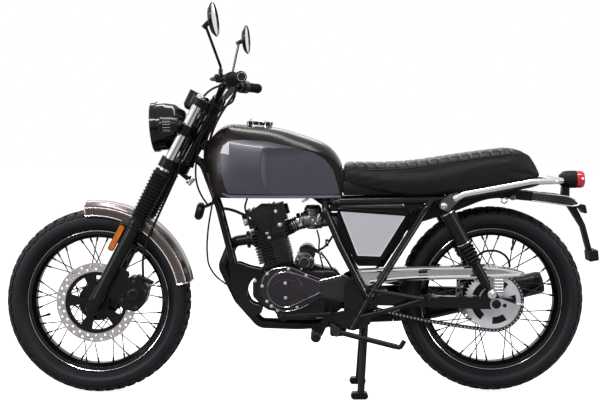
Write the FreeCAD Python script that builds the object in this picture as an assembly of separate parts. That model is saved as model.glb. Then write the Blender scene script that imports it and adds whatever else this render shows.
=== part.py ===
import FreeCAD
import Part
import math
import os
from FreeCAD import Vector

os.makedirs("parts", exist_ok=True)

# Retro roadster motorcycle, parked upright on its centre stand.
# Front towards -X, the rider's left towards -Y, up is +Z, floor at Z = 0.

# Driving dimensions, in millimetres and degrees

# Wheels
wheel_radius = 315.0
front_axle_x = -702.0
rear_axle_x = 643.0
rear_wheel_lift = 8.0
front_tyre_width = 110.0
rear_tyre_width = 120.0
tyre_wall = 8.0
tyre_section = 72.5
rim_flange_radius = wheel_radius - tyre_section
bead_radius = rim_flange_radius - 10.5
rim_well_radius = rim_flange_radius - 18.5
rim_inner_radius = rim_flange_radius - 25.5
rim_width = 60.0
rim_flange_wall = 4.0
soft_gap = 0.3
running_gap = 0.05
axle_radius = 8.0

# Spokes
spoke_count = 36
spoke_radius = 1.9
spoke_sink = 1.5
hub_flange_radius = 66.0
hub_flange_inner = 31.0
hub_flange_wall = 5.0
hub_barrel_radius = 30.0
front_hub_half = 53.0
rear_hub_half = 60.0

# Brakes
front_disc_radius = 135.0
front_disc_inner = 105.0
rear_disc_radius = 110.0
disc_wall = 4.5
carrier_wall = 5.7

# Fork, in its own frame: s runs rearward, t runs up the legs from the axle
rake = 27.8
leg_spread = 95.0
slider_radius = 23.0
slider_top = 318.0
slider_cap_radius = 30.0
stanchion_radius = 17.5
stanchion_foot = 60.0
gaiter_top = 508.0
gaiter_pleats = 14
gaiter_low_radius = 29.5
gaiter_high_radius = 33.0
stem_offset = 45.0
stem_radius = 15.0
lower_clamp_low = 517.5
lower_clamp_high = 552.5
upper_clamp_high = 779.0
upper_clamp_low = upper_clamp_high - 28.0
clamp_ring_radius = 27.0
head_tube_radius = 26.0
bearing_length = 18.0

# Handlebar
bar_radius = 11.0
bar_t = upper_clamp_high + 21.0
bar_half = 385.0
grip_radius = 16.5
grip_length = 130.0

# Frame
tube_radius = 12.0
pivot_x = 225.0
pivot_z = 330.0
pivot_bolt_radius = 8.0
pivot_tube_radius = 16.0
plate_inner = 111.5
plate_wall = 8.0
side_tube_y = 124.0
rail_y = 115.0
arm_width = 28.0
arm_outer = 130.0
shock_y = 141.0
shock_top_x = 468.0
shock_top_z = 649.0
shock_eye_x = rear_axle_x - 16.0
shock_eye_z = wheel_radius + rear_wheel_lift + 34.0
stud_radius = 7.0
coil_radius = 22.0
coil_pitch = 13.0
coil_count = 5

# Chain drive
chain_pitch = 12.7
chain_y = -84.0
link_height = 11.0
link_wall = 1.5
link_half = 3.9
roller_radius = 4.0
tooth_rise = 2.6
rear_teeth = 48
front_teeth = 15
front_sprocket_x = 118.0
front_sprocket_z = 368.0
sprocket_wall = 6.5

# Engine
case_half = 86.0
fin_pitch = 10.0
fin_wall = 3.0
airbox_front = 118.0

# Centre stand
stand_x = 211.0
stand_z = 255.0
stand_tube_radius = 12.0
stand_leg_top_y = 72.0
stand_foot_y = 112.0
stand_foot_ahead = 16.0

# Side stand
prop_x = 113.0
prop_y = -146.0
prop_z = 232.0
prop_length = 205.0
prop_half = 9.6

# Body work
seat_half_width = 132.0
tank_low = 672.0
lamp_radius = 82.0
lamp_wall = 3.0
fender_wall = 2.5
front_fender_radius = 338.0
front_fender_half = 64.0
rear_fender_half = 78.0

front_axle = Vector(front_axle_x, 0, wheel_radius)
rear_axle = Vector(rear_axle_x, 0, wheel_radius + rear_wheel_lift)
left = Vector(0, -1, 0)
right = Vector(0, 1, 0)
up = Vector(0, 0, 1)
back = Vector(1, 0, 0)


# Helpers that shape and place the pieces
def rounded_corner(before, corner, after, radius):
    """Start, middle and end of the arc that rounds a corner."""
    towards = (before - corner).normalize()
    onwards = (after - corner).normalize()
    half_angle = towards.getAngle(onwards) / 2
    reach = radius / math.tan(half_angle)
    bisector = (towards + onwards).normalize()
    centre = corner + bisector * (radius / math.sin(half_angle))
    return corner + towards * reach, centre - bisector * radius, corner + onwards * reach


def rounded_wire(corners, closed):
    """Straight runs joined by tangent arcs, from pairs of a point and a radius."""
    count = len(corners)
    spans = []
    for i, (corner, radius) in enumerate(corners):
        if radius == 0 or not (closed or 0 < i < count - 1):
            spans.append((corner, None, corner))
        else:
            before = corners[i - 1][0]
            after = corners[(i + 1) % count][0]
            spans.append(rounded_corner(before, corner, after, radius))
    edges = []
    for i, span in enumerate(spans):
        if span[1] is not None:
            edges.append(Part.Arc(span[0], span[1], span[2]).toShape())
        if closed or i + 1 < count:
            following = spans[(i + 1) % count][0]
            if (following - span[2]).Length > 1e-6:
                edges.append(Part.LineSegment(span[2], following).toShape())
    return Part.Wire(edges)


def corner_radius(point):
    return point[2] if len(point) > 2 else 0


def side_slab(points, y_low, y_high):
    """A plate seen from the side: points are (x, z) or (x, z, corner radius)."""
    corners = [(Vector(p[0], y_low, p[1]), corner_radius(p)) for p in points]
    face = Part.Face(rounded_wire(corners, True))
    return face.extrude(Vector(0, y_high - y_low, 0))


def plan_slab(points, z_low, z_high):
    """A plate seen from above: points are (x, y) or (x, y, corner radius)."""
    corners = [(Vector(p[0], p[1], z_low), corner_radius(p)) for p in points]
    face = Part.Face(rounded_wire(corners, True))
    return face.extrude(Vector(0, 0, z_high - z_low))


def placed(shape, base, axis):
    """Turns a shape's own Z to an axis and moves its origin to a point."""
    placement = FreeCAD.Placement(base, FreeCAD.Rotation(up, axis))
    return shape.transformed(placement.toMatrix(), True)


def turned(profile, base, axis, angle=360):
    """A turned piece: profile points are (radius, height) or with a corner radius."""
    corners = [(Vector(p[0], 0, p[1]), corner_radius(p)) for p in profile]
    face = Part.Face(rounded_wire(corners, True))
    return placed(face.revolve(Vector(0, 0, 0), up, angle), base, axis)


def rod(start, end, radius):
    axis = end - start
    return Part.makeCylinder(radius, axis.Length, start, axis)


def bent_rod(points, radius, bend):
    """A round bar along straight runs joined by bends."""
    path = rounded_wire([(point, bend) for point in points], False)
    circle = Part.Wire(Part.makeCircle(radius, points[0], points[1] - points[0]))
    return path.makePipeShell([circle], True, False)


def cable(name, points, radius):
    """A held cable: each arc is as large as its two runs allow."""
    corners = []
    radii = []
    for i, point in enumerate(points):
        bend = 0
        if 0 < i < len(points) - 1:
            towards = points[i - 1] - point
            onwards = points[i + 1] - point
            half_turn = (math.pi - towards.getAngle(onwards)) / 2
            bend = 0.45 * min(towards.Length, onwards.Length) / math.tan(half_turn)
            radii.append(round(bend))
        corners.append((point, bend))
    path = rounded_wire(corners, False)
    circle = Part.Wire(Part.makeCircle(radius, points[0], points[1] - points[0]))
    tube = path.makePipeShell([circle], True, False)
    share = tube.Volume / (math.pi * radius ** 2 * path.Length)
    print(name, "length", round(path.Length), "radii", radii, "volume share", round(share, 4))
    return tube


def fused(first, *others):
    return first.multiFuse(list(others)).removeSplitter()


def mirrored(shape):
    return shape.mirror(Vector(0, 0, 0), right)


def both_sides(shape):
    return [shape, mirrored(shape)]


def save(name, shapes):
    """Writes one node as a STEP file."""
    if not isinstance(shapes, list):
        shapes = [shapes]
    solids = []
    for shape in shapes:
        solids.extend(shape.Solids)
    body = solids[0] if len(solids) == 1 else Part.makeCompound(solids)
    body.exportStep("parts/" + name + ".step")
    sound = all(solid.isValid() for solid in solids)
    print(name, len(solids), "solids", round(body.Volume / 1000), "cm3", "" if sound else "NOT VALID")


fork_turn = FreeCAD.Placement(front_axle, FreeCAD.Rotation(right, rake))


def on_fork(shape):
    """Moves a shape from the fork's own frame to the bike."""
    return shape.transformed(fork_turn.toMatrix(), True)


def fork_point(s, y, t):
    return fork_turn.multVec(Vector(s, y, t))


fork_up = fork_turn.Rotation.multVec(up)
fork_back = fork_turn.Rotation.multVec(back)


# Wheels
def tyre(axle, width):
    half = width / 2
    bead_half = rim_width / 2 - rim_flange_wall - soft_gap
    inner = half - tyre_wall
    top = wheel_radius
    shoulder = rim_flange_radius + tyre_section / 3
    profile = [
        (bead_radius, -bead_half),
        (rim_flange_radius + 0.5, -bead_half),
        (shoulder, -half, 22),
        (top - 14, -half, 20),
        (top, -half * 0.35, 40),
        (top, half * 0.35, 40),
        (top - 14, half, 20),
        (shoulder, half, 22),
        (rim_flange_radius + 0.5, bead_half),
        (bead_radius, bead_half),
        (bead_radius, bead_half - tyre_wall),
        (rim_flange_radius + 5, bead_half - tyre_wall),
        (shoulder + 2, inner, 16),
        (top - 20, inner, 14),
        (top - tyre_wall, 0),
        (top - 20, -inner, 14),
        (shoulder + 2, -inner, 16),
        (rim_flange_radius + 5, -bead_half + tyre_wall),
        (bead_radius, -bead_half + tyre_wall),
    ]
    return turned(profile, axle, right)


def rim(axle):
    half = rim_width / 2
    seat = bead_radius - soft_gap
    profile = [
        (rim_flange_radius, -half),
        (rim_flange_radius, -half + rim_flange_wall),
        (seat, -half + rim_flange_wall),
        (seat, -17),
        (rim_well_radius, -12),
        (rim_well_radius, 12),
        (seat, 17),
        (seat, half - rim_flange_wall),
        (rim_flange_radius, half - rim_flange_wall),
        (rim_flange_radius, half),
        (rim_inner_radius + 12, half - 1),
        (rim_inner_radius, 14),
        (rim_inner_radius, -14),
        (rim_inner_radius + 12, -half + 1),
    ]
    return turned(profile, axle, right)


def spoke(axle, hub_angle, rim_angle, hub_y, rim_y):
    """One spoke from a hub flange to the rim, as a slim six-sided bar."""
    hub_r = hub_flange_radius - 5
    rim_r = rim_inner_radius + spoke_sink
    a = math.radians(hub_angle)
    b = math.radians(rim_angle)
    start = axle + Vector(hub_r * math.cos(a), hub_y, hub_r * math.sin(a))
    end = axle + Vector(rim_r * math.cos(b), rim_y, rim_r * math.sin(b))
    run = end - start
    corners = []
    for side in range(7):
        turn = math.radians(60 * side)
        corners.append(Vector(spoke_radius * math.cos(turn), spoke_radius * math.sin(turn), 0))
    bar = Part.Face(Part.makePolygon(corners)).extrude(up * run.Length)
    return placed(bar, start, run)


def spokes(axle):
    """Spokes of both flanges, leading and trailing ones in turn."""
    per_side = spoke_count // 2
    step = 360 / per_side
    bars = []
    for side in (-1, 1):
        flange = side * (hub_flange_inner + hub_flange_wall / 2)
        for i in range(per_side):
            leading = i % 2 == 0
            hub_angle = i * step + (side + 1) * step / 4
            rim_angle = hub_angle + (58 if leading else -58)
            hub_y = flange + (3.2 if leading else -3.2)
            rim_y = side * (10 if leading else 5)
            bars.append(spoke(axle, hub_angle, rim_angle, hub_y, rim_y))
    return bars


def hub(axle, low, high, low_radius, high_radius):
    """A turned hub with two spoke flanges; low and high are its ends along Y."""
    flange_out = hub_flange_inner + hub_flange_wall
    bore = axle_radius + running_gap
    barrel = hub_barrel_radius
    profile = [
        (bore, low),
        (low_radius, low),
        (low_radius, -flange_out - 2),
        (hub_flange_radius, -flange_out),
        (hub_flange_radius, -hub_flange_inner),
        (barrel + 5, -hub_flange_inner + 4),
        (barrel, -12),
        (barrel, 12),
        (barrel + 5, hub_flange_inner - 4),
        (hub_flange_radius, hub_flange_inner),
        (hub_flange_radius, flange_out),
        (high_radius, flange_out + 2),
        (high_radius, high),
        (bore, high),
    ]
    return turned(profile, axle, right)


def disc_ring(axle, y_low, y_high, outer, inner, holes):
    """A brake disc with rows of drilled holes."""
    base = axle + Vector(0, y_low, 0)
    height = y_high - y_low
    ring = Part.makeCylinder(outer, height, base, right)
    cuts = [Part.makeCylinder(inner, height, base, right)]
    for i in range(holes):
        for row, r in enumerate((inner + 9, outer - 9)):
            angle = math.radians(360 / holes * (i + row / 2))
            spot = base + Vector(r * math.cos(angle), 0, r * math.sin(angle))
            cuts.append(Part.makeCylinder(4, height, spot, right))
    return ring.cut(cuts)


def disc_carrier(axle, y_low, y_high, outer, inner, arms):
    """The dark spider that carries a disc, with a window between each two arms."""
    base = axle + Vector(0, y_low, 0)
    height = y_high - y_low
    body = Part.makeCylinder(outer, height, base, right)
    cuts = [Part.makeCylinder(inner, height, base, right)]
    window_low = inner + 22
    window_high = outer - 16
    for i in range(arms):
        span = 360 / arms - 26
        sector = Part.makeCylinder(window_high, height, base, right, span)
        sector = sector.cut(Part.makeCylinder(window_low, height, base, right))
        sector.rotate(axle, right, 360 / arms * i)
        cuts.append(sector)
    return body.cut(cuts)


front_carrier_low = -front_hub_half - carrier_wall
front_disc_low = front_carrier_low - disc_wall
save("front_tyre", tyre(front_axle, front_tyre_width))
save("front_rim", rim(front_axle))
save("front_spokes", spokes(front_axle))
save("front_hub", fused(
    hub(front_axle, -front_hub_half, front_hub_half, 38, 24),
    disc_carrier(front_axle, front_carrier_low, -front_hub_half, front_disc_inner + 3, 22, 5)))
save("front_disc", disc_ring(
    front_axle, front_disc_low, front_carrier_low, front_disc_radius, front_disc_inner, 24))

rear_carrier_high = rear_hub_half + carrier_wall
save("rear_tyre", tyre(rear_axle, rear_tyre_width))
save("rear_rim", rim(rear_axle))
save("rear_spokes", spokes(rear_axle))
save("rear_hub", fused(
    hub(rear_axle, chain_y + sprocket_wall / 2, rear_hub_half, 40, 38),
    disc_carrier(rear_axle, rear_hub_half, rear_carrier_high, rear_disc_radius - 24, 22, 5)))
save("rear_disc", disc_ring(
    rear_axle, rear_carrier_high, rear_carrier_high + disc_wall,
    rear_disc_radius, rear_disc_radius - 27, 20))


# Chain drive
rear_pitch_radius = chain_pitch / 2 / math.sin(math.pi / rear_teeth)
front_pitch_radius = chain_pitch / 2 / math.sin(math.pi / front_teeth)


def toothed_rim(centre, pitch_radius, teeth, y_low):
    """A plate whose teeth reach between the chain's pins, with a valley at each pin."""
    root = pitch_radius - roller_radius - 0.2
    tip = pitch_radius + tooth_rise
    step = 2 * math.pi / teeth
    corners = []
    for i in range(teeth):
        for share, radius in ((-0.19, root), (0.19, root), (0.39, tip), (0.61, tip)):
            angle = (i + share) * step
            corners.append(Vector(centre.x + radius * math.cos(angle), y_low, centre.z + radius * math.sin(angle)))
    face = Part.Face(Part.makePolygon(corners + corners[:1]))
    return face.extrude(Vector(0, sprocket_wall, 0))


def sprocket():
    """The rear sprocket with its teeth and five kidney windows."""
    base = rear_axle + Vector(0, chain_y - sprocket_wall / 2, 0)
    body = toothed_rim(rear_axle, rear_pitch_radius, rear_teeth, base.y)
    cuts = [Part.makeCylinder(axle_radius + 16, sprocket_wall, base, right)]
    for i in range(5):
        sector = Part.makeCylinder(76, sprocket_wall, base, right, 40)
        sector = sector.cut(Part.makeCylinder(52, sprocket_wall, base, right))
        sector.rotate(rear_axle, right, 72 * i)
        cuts.append(sector)
    return body.cut(cuts)


def chain_pins():
    """The pins of the loop: one in each valley of the rear sprocket, evenly along both runs."""
    front = Vector(front_sprocket_x, 0, front_sprocket_z)
    line = rear_axle - front
    tilt = math.atan2(line.z, line.x)
    spread = math.asin((rear_pitch_radius - front_pitch_radius) / line.Length)
    top = math.pi / 2 + tilt + spread
    low = -math.pi / 2 + tilt - spread
    sag = 14

    def spot(centre, radius, angle):
        return centre + Vector(radius * math.cos(angle), 0, radius * math.sin(angle))

    def run(start, end, links, drop):
        """The pins between two ends, hanging by a drop in the middle."""
        pins = []
        for i in range(1, links):
            share = i / links
            pins.append(start + (end - start) * share - up * (4 * drop * share * (1 - share)))
        return pins

    step = 2 * math.pi / rear_teeth
    first = math.floor(top / step)
    last = math.ceil(low / step)
    rear_wrap = [spot(rear_axle, rear_pitch_radius, i * step) for i in range(first, last - 1, -1)]
    turn = low - (top - 2 * math.pi)
    links = round(turn / (2 * math.pi / front_teeth))
    front_wrap = [spot(front, front_pitch_radius, low - turn * i / links) for i in range(links + 1)]
    upper = round((rear_wrap[0] - front_wrap[-1]).Length / chain_pitch)
    lower = round((front_wrap[0] - rear_wrap[-1]).Length / chain_pitch)
    if (len(rear_wrap) + len(front_wrap) + upper + lower) % 2:
        lower += 1
    return (run(front_wrap[-1], rear_wrap[0], upper, 0) + rear_wrap
            + run(rear_wrap[-1], front_wrap[0], lower, sag) + front_wrap)


def chain_prism(corners, y_low, y_high):
    face = Part.Face(Part.makePolygon(corners + corners[:1]))
    prism = face.extrude(Vector(0, y_high - y_low, 0))
    prism.translate(Vector(0, chain_y + y_low, 0))
    return prism


def side_plates(start, end, near):
    """The pair of plates of one link: inner ones near the rollers, outer ones over them."""
    along = (end - start).normalize()
    across = Vector(-along.z, 0, along.x) * (link_height / 2)
    corners = [start - along * 5.2, start - along * 1.5 + across, end + along * 1.5 + across,
               end + along * 5.2, end + along * 1.5 - across, start - along * 1.5 - across]
    return [chain_prism(corners, near, near + link_wall), chain_prism(corners, -near - link_wall, -near)]


def roller(pin):
    """A roller between the inner plates, six-sided because two plates hide it."""
    corners = []
    for i in range(6):
        angle = i * math.pi / 3
        corners.append(pin + Vector(math.cos(angle), 0, math.sin(angle)) * roller_radius)
    return chain_prism(corners, -link_half - 0.1, link_half + 0.1)


def chain():
    """A roller chain. Where its teeth would meet rollers, the sprocket itself fills the gap."""
    pins = chain_pins()
    parts = []
    for i, pin in enumerate(pins):
        near = link_half if i % 2 else link_half + link_wall - 0.1
        parts.extend(side_plates(pin, pins[(i + 1) % len(pins)], near))
        if (pin - rear_axle).Length > rear_pitch_radius + tooth_rise + roller_radius + 1:
            parts.append(roller(pin))
    print("chain", len(pins), "links")
    return fused(parts[0], *parts[1:])


save("rear_sprocket", sprocket())
save("chain", chain())


# Fork and steering, built in the fork's own frame
def slider(side):
    y = side * leg_spread
    bore = stanchion_radius + running_gap
    body = turned([
        (0, -34),
        (16, -34, 5),
        (slider_radius, -18, 8),
        (slider_radius, slider_top - 33),
        (slider_radius + 3, slider_top - 28),
        (slider_radius + 3, slider_top - 18),
        (slider_cap_radius, slider_top - 14),
        (slider_cap_radius, slider_top),
        (bore, slider_top),
        (bore, stanchion_foot),
        (0, stanchion_foot),
    ], Vector(0, y, 0), up)
    boss = rod(Vector(0, y - 24, 0), Vector(0, y + 24, 0), 21)
    body = fused(body, boss)
    if side < 0:
        lug = side_slab([(8, 48), (52, 38, 8), (60, 52, 6), (60, 138, 6), (52, 150, 8), (8, 140)],
                        y + 8, y + 18)
        body = fused(body, lug)
    hole = rod(Vector(0, y - 40, 0), Vector(0, y + 40, 0), axle_radius + running_gap)
    core = rod(Vector(0, y, stanchion_foot), Vector(0, y, slider_top), bore)
    return on_fork(body.cut([hole, core]))


def stanchion(side):
    y = side * leg_spread
    leg = turned([
        (0, stanchion_foot + soft_gap),
        (stanchion_radius, stanchion_foot + soft_gap),
        (stanchion_radius, upper_clamp_high + 5),
        (stanchion_radius - 3, upper_clamp_high + 11, 2),
        (0, upper_clamp_high + 11),
    ], Vector(0, y, 0), up)
    return on_fork(leg)


def gaiter(side):
    """A rubber bellows with two collars."""
    low = slider_top + soft_gap
    collar = 10
    start = low + collar
    pitch = (gaiter_top - collar - start) / gaiter_pleats
    bore = stanchion_radius + soft_gap
    profile = [(bore, low), (gaiter_low_radius - 6, low)]
    for i in range(gaiter_pleats):
        crest = gaiter_low_radius + (gaiter_high_radius - gaiter_low_radius) * (i + 0.5) / gaiter_pleats
        profile.append((crest - 6, start + pitch * i))
        profile.append((crest, start + pitch * (i + 0.5)))
    profile.append((gaiter_high_radius - 6, gaiter_top - collar))
    profile.append((gaiter_high_radius - 6, gaiter_top))
    profile.append((bore, gaiter_top))
    return on_fork(turned(profile, Vector(0, side * leg_spread, 0), up))


def clamp_plate(low, high, front_edge):
    """A fork clamp: two rings joined by a web that reaches back to the stem."""
    reach = leg_spread
    web = plan_slab([
        (front_edge, -40, 20),
        (-18, -reach + 18, 6),
        (-18, -reach),
        (14, -reach - 12, 6),
        (22, -reach + 24, 24),
        (stem_offset + 20, -20, 18),
        (stem_offset + 20, 20, 18),
        (22, reach - 24, 24),
        (14, reach + 12, 6),
        (-18, reach),
        (-18, reach - 18, 6),
        (front_edge, 40, 20),
    ], low, high)
    rings = []
    bores = []
    for side in (-1, 1):
        foot = Vector(0, side * reach, low)
        head = Vector(0, side * reach, high)
        rings.append(rod(foot, head, clamp_ring_radius))
        bores.append(rod(foot, head, stanchion_radius + running_gap))
    boss = rod(Vector(stem_offset, 0, low), Vector(stem_offset, 0, high), 20)
    return fused(web, boss, *rings).cut(bores)


def steering_stem():
    plate = clamp_plate(lower_clamp_low, lower_clamp_high, -14)
    base = Vector(stem_offset, 0, lower_clamp_low)
    stem = rod(base, Vector(stem_offset, 0, upper_clamp_high), stem_radius)
    nut = turned([
        (0, upper_clamp_high), (17, upper_clamp_high), (17, upper_clamp_high + 6),
        (12, upper_clamp_high + 9), (0, upper_clamp_high + 9)], Vector(stem_offset, 0, 0), up)
    return on_fork(fused(plate, stem, nut))


def upper_clamp():
    plate = clamp_plate(upper_clamp_low, upper_clamp_high, 25)
    hole = rod(Vector(stem_offset, 0, upper_clamp_low), Vector(stem_offset, 0, upper_clamp_high),
               stem_radius + running_gap)
    risers = []
    for side in (-1, 1):
        riser = side_slab([
            (stem_offset - 19, upper_clamp_high),
            (stem_offset - 19, bar_t + 6, 6),
            (stem_offset - 12, bar_t + 18, 8),
            (stem_offset + 12, bar_t + 18, 8),
            (stem_offset + 19, bar_t + 6, 6),
            (stem_offset + 19, upper_clamp_high),
        ], side * 40 - 14, side * 40 + 14)
        risers.append(riser)
    bar_hole = rod(Vector(stem_offset, -60, bar_t), Vector(stem_offset, 60, bar_t), bar_radius + running_gap)
    return on_fork(fused(plate, *risers).cut([hole, bar_hole]))


save("fork_stanchions", [stanchion(-1), stanchion(1)])
save("fork_gaiters", [gaiter(-1), gaiter(1)])
save("steering_stem", steering_stem())
save("upper_clamp", upper_clamp())


def front_axle_bar():
    """The front axle with its head, nut and the two spacers beside the hub."""
    end = leg_spread + 27
    bar = rod(front_axle + left * end, front_axle + right * end, axle_radius)
    pieces = []
    for side, hub_end in ((-1, front_hub_half), (1, front_hub_half)):
        out = right * side
        spacer = rod(front_axle + out * (hub_end + soft_gap), front_axle + out * (leg_spread - 24), 13)
        head = rod(front_axle + out * (leg_spread + 24), front_axle + out * end, 13)
        pieces.extend([spacer, head])
    return fused(bar, *pieces)


save("front_axle", front_axle_bar())

perch_back = grip_length + 62
bar_centre = fork_point(stem_offset, 0, bar_t)
bar_rise = Vector(-245.6, 175, 1061)
bar_end = Vector(-181.5, bar_half, 1061)
bar_knee = Vector(bar_centre.x, 72, bar_centre.z)
grip_way = (bar_end - bar_rise).normalize()


def handlebar():
    half = [bar_centre, bar_knee, bar_rise, bar_end]
    path = [Vector(p.x, -p.y, p.z) for p in reversed(half[1:])] + half[1:]
    return bent_rod(path, bar_radius, 45)


def grip():
    bore = bar_radius + soft_gap
    length = grip_length
    start = bar_end - grip_way * length
    return turned([
        (bore, 0), (24, 0), (24, 5), (grip_radius, 7), (grip_radius, length - 5),
        (grip_radius + 2, length - 3), (grip_radius + 2, length + 4, 3), (0, length + 4),
        (0, length + soft_gap), (bore, length + soft_gap)], start, grip_way)


def switch_housing():
    start = bar_end - grip_way * (grip_length + 46)
    bore = bar_radius + running_gap
    return turned([(bore, 0), (21, 0, 3), (24, 8, 3), (24, 44, 3), (bore, 44)], start, grip_way)


save("handlebar", handlebar())
save("grips", both_sides(grip()))


def lever(side):
    """A perch on the bar and a curved blade in front of the grip."""
    out = Vector(grip_way.x, grip_way.y * side, 0)
    ahead = Vector(-out.y * side, out.x * side, 0)
    end = Vector(bar_end.x, bar_end.y * side, bar_end.z)
    perch = end - out * perch_back
    ring = rod(perch - out * 11, perch + out * 11, 18)
    arm = rod(perch, perch + ahead * 40, 9)
    pivot = perch + ahead * 38 + out * 6
    blade = bent_rod([
        pivot, pivot + out * 40 + ahead * 26, pivot + out * 120 + ahead * 26,
        pivot + out * 172 + ahead * 34], 6, 20)
    ball = Part.makeSphere(9, pivot + out * 172 + ahead * 34)
    hole = rod(perch - out * 30, perch + out * 30, bar_radius + running_gap)
    return fused(ring, arm, blade, ball).cut(hole)


def brake_cylinder():
    """The front brake cylinder and its fluid pot, ahead of the right grip."""
    out = grip_way
    ahead = Vector(-out.y, out.x, 0)
    perch = bar_end - out * perch_back
    body = rod(perch + ahead * 34 - out * 48, perch + ahead * 34 - out * 9.3, 11)
    pot_base = perch + ahead * 34 - out * 30 + up * 8
    pot = rod(pot_base, pot_base + up * 32, 21)
    return fused(body, pot)


save("control_levers", [lever(-1), lever(1)])
save("bar_controls", both_sides(switch_housing()) + [brake_cylinder()])


mirror_toe = -0.11


def mirror(base, ball, centre, lean):
    """Mirror stem and dished head, open towards the rider."""
    normal = Vector(math.cos(math.radians(lean)), mirror_toe, math.sin(math.radians(lean))).normalize()
    foot = rod(base, base + up * 26, 7)
    knee = base + up * 34
    joint_at = ball - normal * 2
    stem = bent_rod([base + up * 20, knee, joint_at], 4.5, 12)
    joint = rod(joint_at - normal * 9, centre - normal * 6, 8)
    shell = turned([
        (0, -15), (20, -14, 20), (44, -7, 15), (55, 2, 3), (55, 6), (51, 6), (51, 4), (0, 4)],
        centre, normal)
    return fused(foot, stem, joint, shell)


mirror_foot = bar_end - grip_way * perch_back + Vector(-grip_way.y, grip_way.x, 0) * 25 + up * 9.2
save("mirrors", [
    mirror(Vector(mirror_foot.x, -mirror_foot.y, mirror_foot.z), Vector(-291, -340, 1218),
           Vector(-271, -346, 1242), 7),
    mirror(mirror_foot, Vector(-247, 342, 1226), Vector(-222, 345, 1243), 3)])


# Headlamp, gauge and front indicators
lamp_front = Vector(-507, 0, 912)
lamp_way = Vector(121, 0, 9).normalize()


def lamp_shell():
    """A hollow bowl behind a chrome bezel."""
    r = lamp_radius
    w = lamp_wall
    return turned([
        (r, 0), (r, 40, 20), (r * 0.9, 78, 30), (r * 0.55, 108, 30), (0, 116),
        (0, 116 - w), (r * 0.55 - 1, 108 - w, 28), (r * 0.9 - w, 76, 28), (r - w, 40, 18), (r - w, 0)],
        lamp_front, lamp_way)


def lamp_bezel():
    r = lamp_radius
    return turned([
        (r - 9, -9), (r + 2, -9, 3), (r + 4, 0), (r + 4, 10, 2), (r + soft_gap, 10), (r + soft_gap, 0),
        (r - 9, 0)], lamp_front, lamp_way)


def lamp_glass():
    r = lamp_radius - 9.3
    return turned([(0, -13), (r * 0.6, -10, 60), (r, -4), (r, 0), (r * 0.6, -6, 60), (0, -9)],
                  lamp_front, lamp_way)


def lamp_reflector():
    """A dished mirror with its bulb in the middle."""
    r = lamp_radius - lamp_wall - soft_gap
    bowl = turned([
        (0, 60), (18, 58), (40, 44, 20), (62, 22, 20), (r, 2), (r, 5), (62, 26, 20), (40, 48, 20),
        (18, 62), (0, 64)], lamp_front, lamp_way)
    bulb = turned([(0, 20), (9, 22, 4), (9, 59), (0, 61)], lamp_front, lamp_way)
    return fused(bowl, bulb)


def lamp_ear(side):
    """The clamp on a fork leg and the arm that holds the lamp."""
    y = side * leg_spread
    ring = rod(Vector(0, y, 643), Vector(0, y, 680), 22)
    plate = side_slab([(0, 646), (-60, 633, 10), (-74, 642, 8), (-74, 654, 8), (-58, 664, 10), (0, 678)],
                      side * 85 - 3, side * 85 + 3)
    stalk = rod(Vector(-47, side * 86, 657), Vector(-47, side * 104, 657), 7)
    hole = rod(Vector(0, y, 640), Vector(0, y, 690), stanchion_radius + running_gap)
    return on_fork(fused(ring, plate, stalk).cut(hole))


def indicator(centre):
    """A short bullet lamp whose lens faces forward."""
    axis = back * -1
    body = turned([(0, -34), (12, -33, 8), (21, -22, 10), (23.5, 0), (23.5, 26), (0, 26)], centre, axis)
    lens = turned([(0, 26 + soft_gap), (22, 26 + soft_gap), (20, 32, 5), (0, 35)], centre, axis)
    return body, lens


save("headlamp_shell", lamp_shell())
save("headlamp_bezel", fused(lamp_bezel(), lamp_reflector()))
lamp_ears = []
indicator_lenses = []
for side in (-1, 1):
    housing, lens = indicator(fork_point(-47, side * 127.0, 657))
    lamp_ears.append(fused(lamp_ear(side), housing))
    indicator_lenses.append(lens)
save("headlamp_ears", lamp_ears)


gauge_centre = Vector(-23, 0, 0)
gauge_radius = 36.5


def gauge():
    """A round instrument in front of the top clamp, with its bracket."""
    r = gauge_radius
    can = turned([
        (0, 724), (r - 12, 724, 6), (r - 2, 736, 10), (r, 786), (r, 790), (r - 3, 790), (r - 3, 786), (0, 786)],
        gauge_centre, up)
    bracket = side_slab([(0, 756), (25, 756), (25, 775), (0, 775)], -16, 16)
    return on_fork(fused(can, bracket))


def gauge_glass():
    r = gauge_radius - 3.3
    return on_fork(turned([(0, 786 + soft_gap), (r, 786 + soft_gap), (r, 789), (0, 789)], gauge_centre, up))


save("gauge", gauge())
save("front_glasses", [lamp_glass(), gauge_glass()])


# Front mudguard
def front_fender():
    r = front_fender_radius
    w = fender_wall
    half = front_fender_half
    points = [
        (290, -half), (r - 16, -half, 15), (r, -half * 0.5, 40), (r, half * 0.5, 40),
        (r - 16, half, 15), (290, half), (290, half - w), (r - 17, half - w, 13),
        (r - w, half * 0.5, 38), (r - w, -half * 0.5, 38), (r - 17, -half + w, 13), (290, -half + w)]
    corners = [(Vector(p[0], p[1], 0), corner_radius(p)) for p in points]
    face = Part.Face(rounded_wire(corners, True))
    shell = face.revolve(Vector(0, 0, 0), left, 84)
    shell.rotate(Vector(0, 0, 0), left, 11)
    shell.translate(front_axle + Vector(-10, 0, 5))
    return shell


def fender_stay(side):
    """A pressed plate from the mudguard's edge to the fork leg."""
    y = side * leg_spread
    low = side * (front_fender_half - 2)
    high = y - side * 16
    plate = side_slab([
        (-30, 236, 8), (-2, 226), (-2, 270), (-24, 276, 6), (-26, 300), (-52, 300), (-48, 262, 10)],
        min(low, high), max(low, high))
    leg = rod(Vector(0, y, 200), Vector(0, y, 300), slider_radius + running_gap)
    return on_fork(plate.cut(leg))


save("front_fender", fused(front_fender(), fender_stay(-1), fender_stay(1)))


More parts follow.
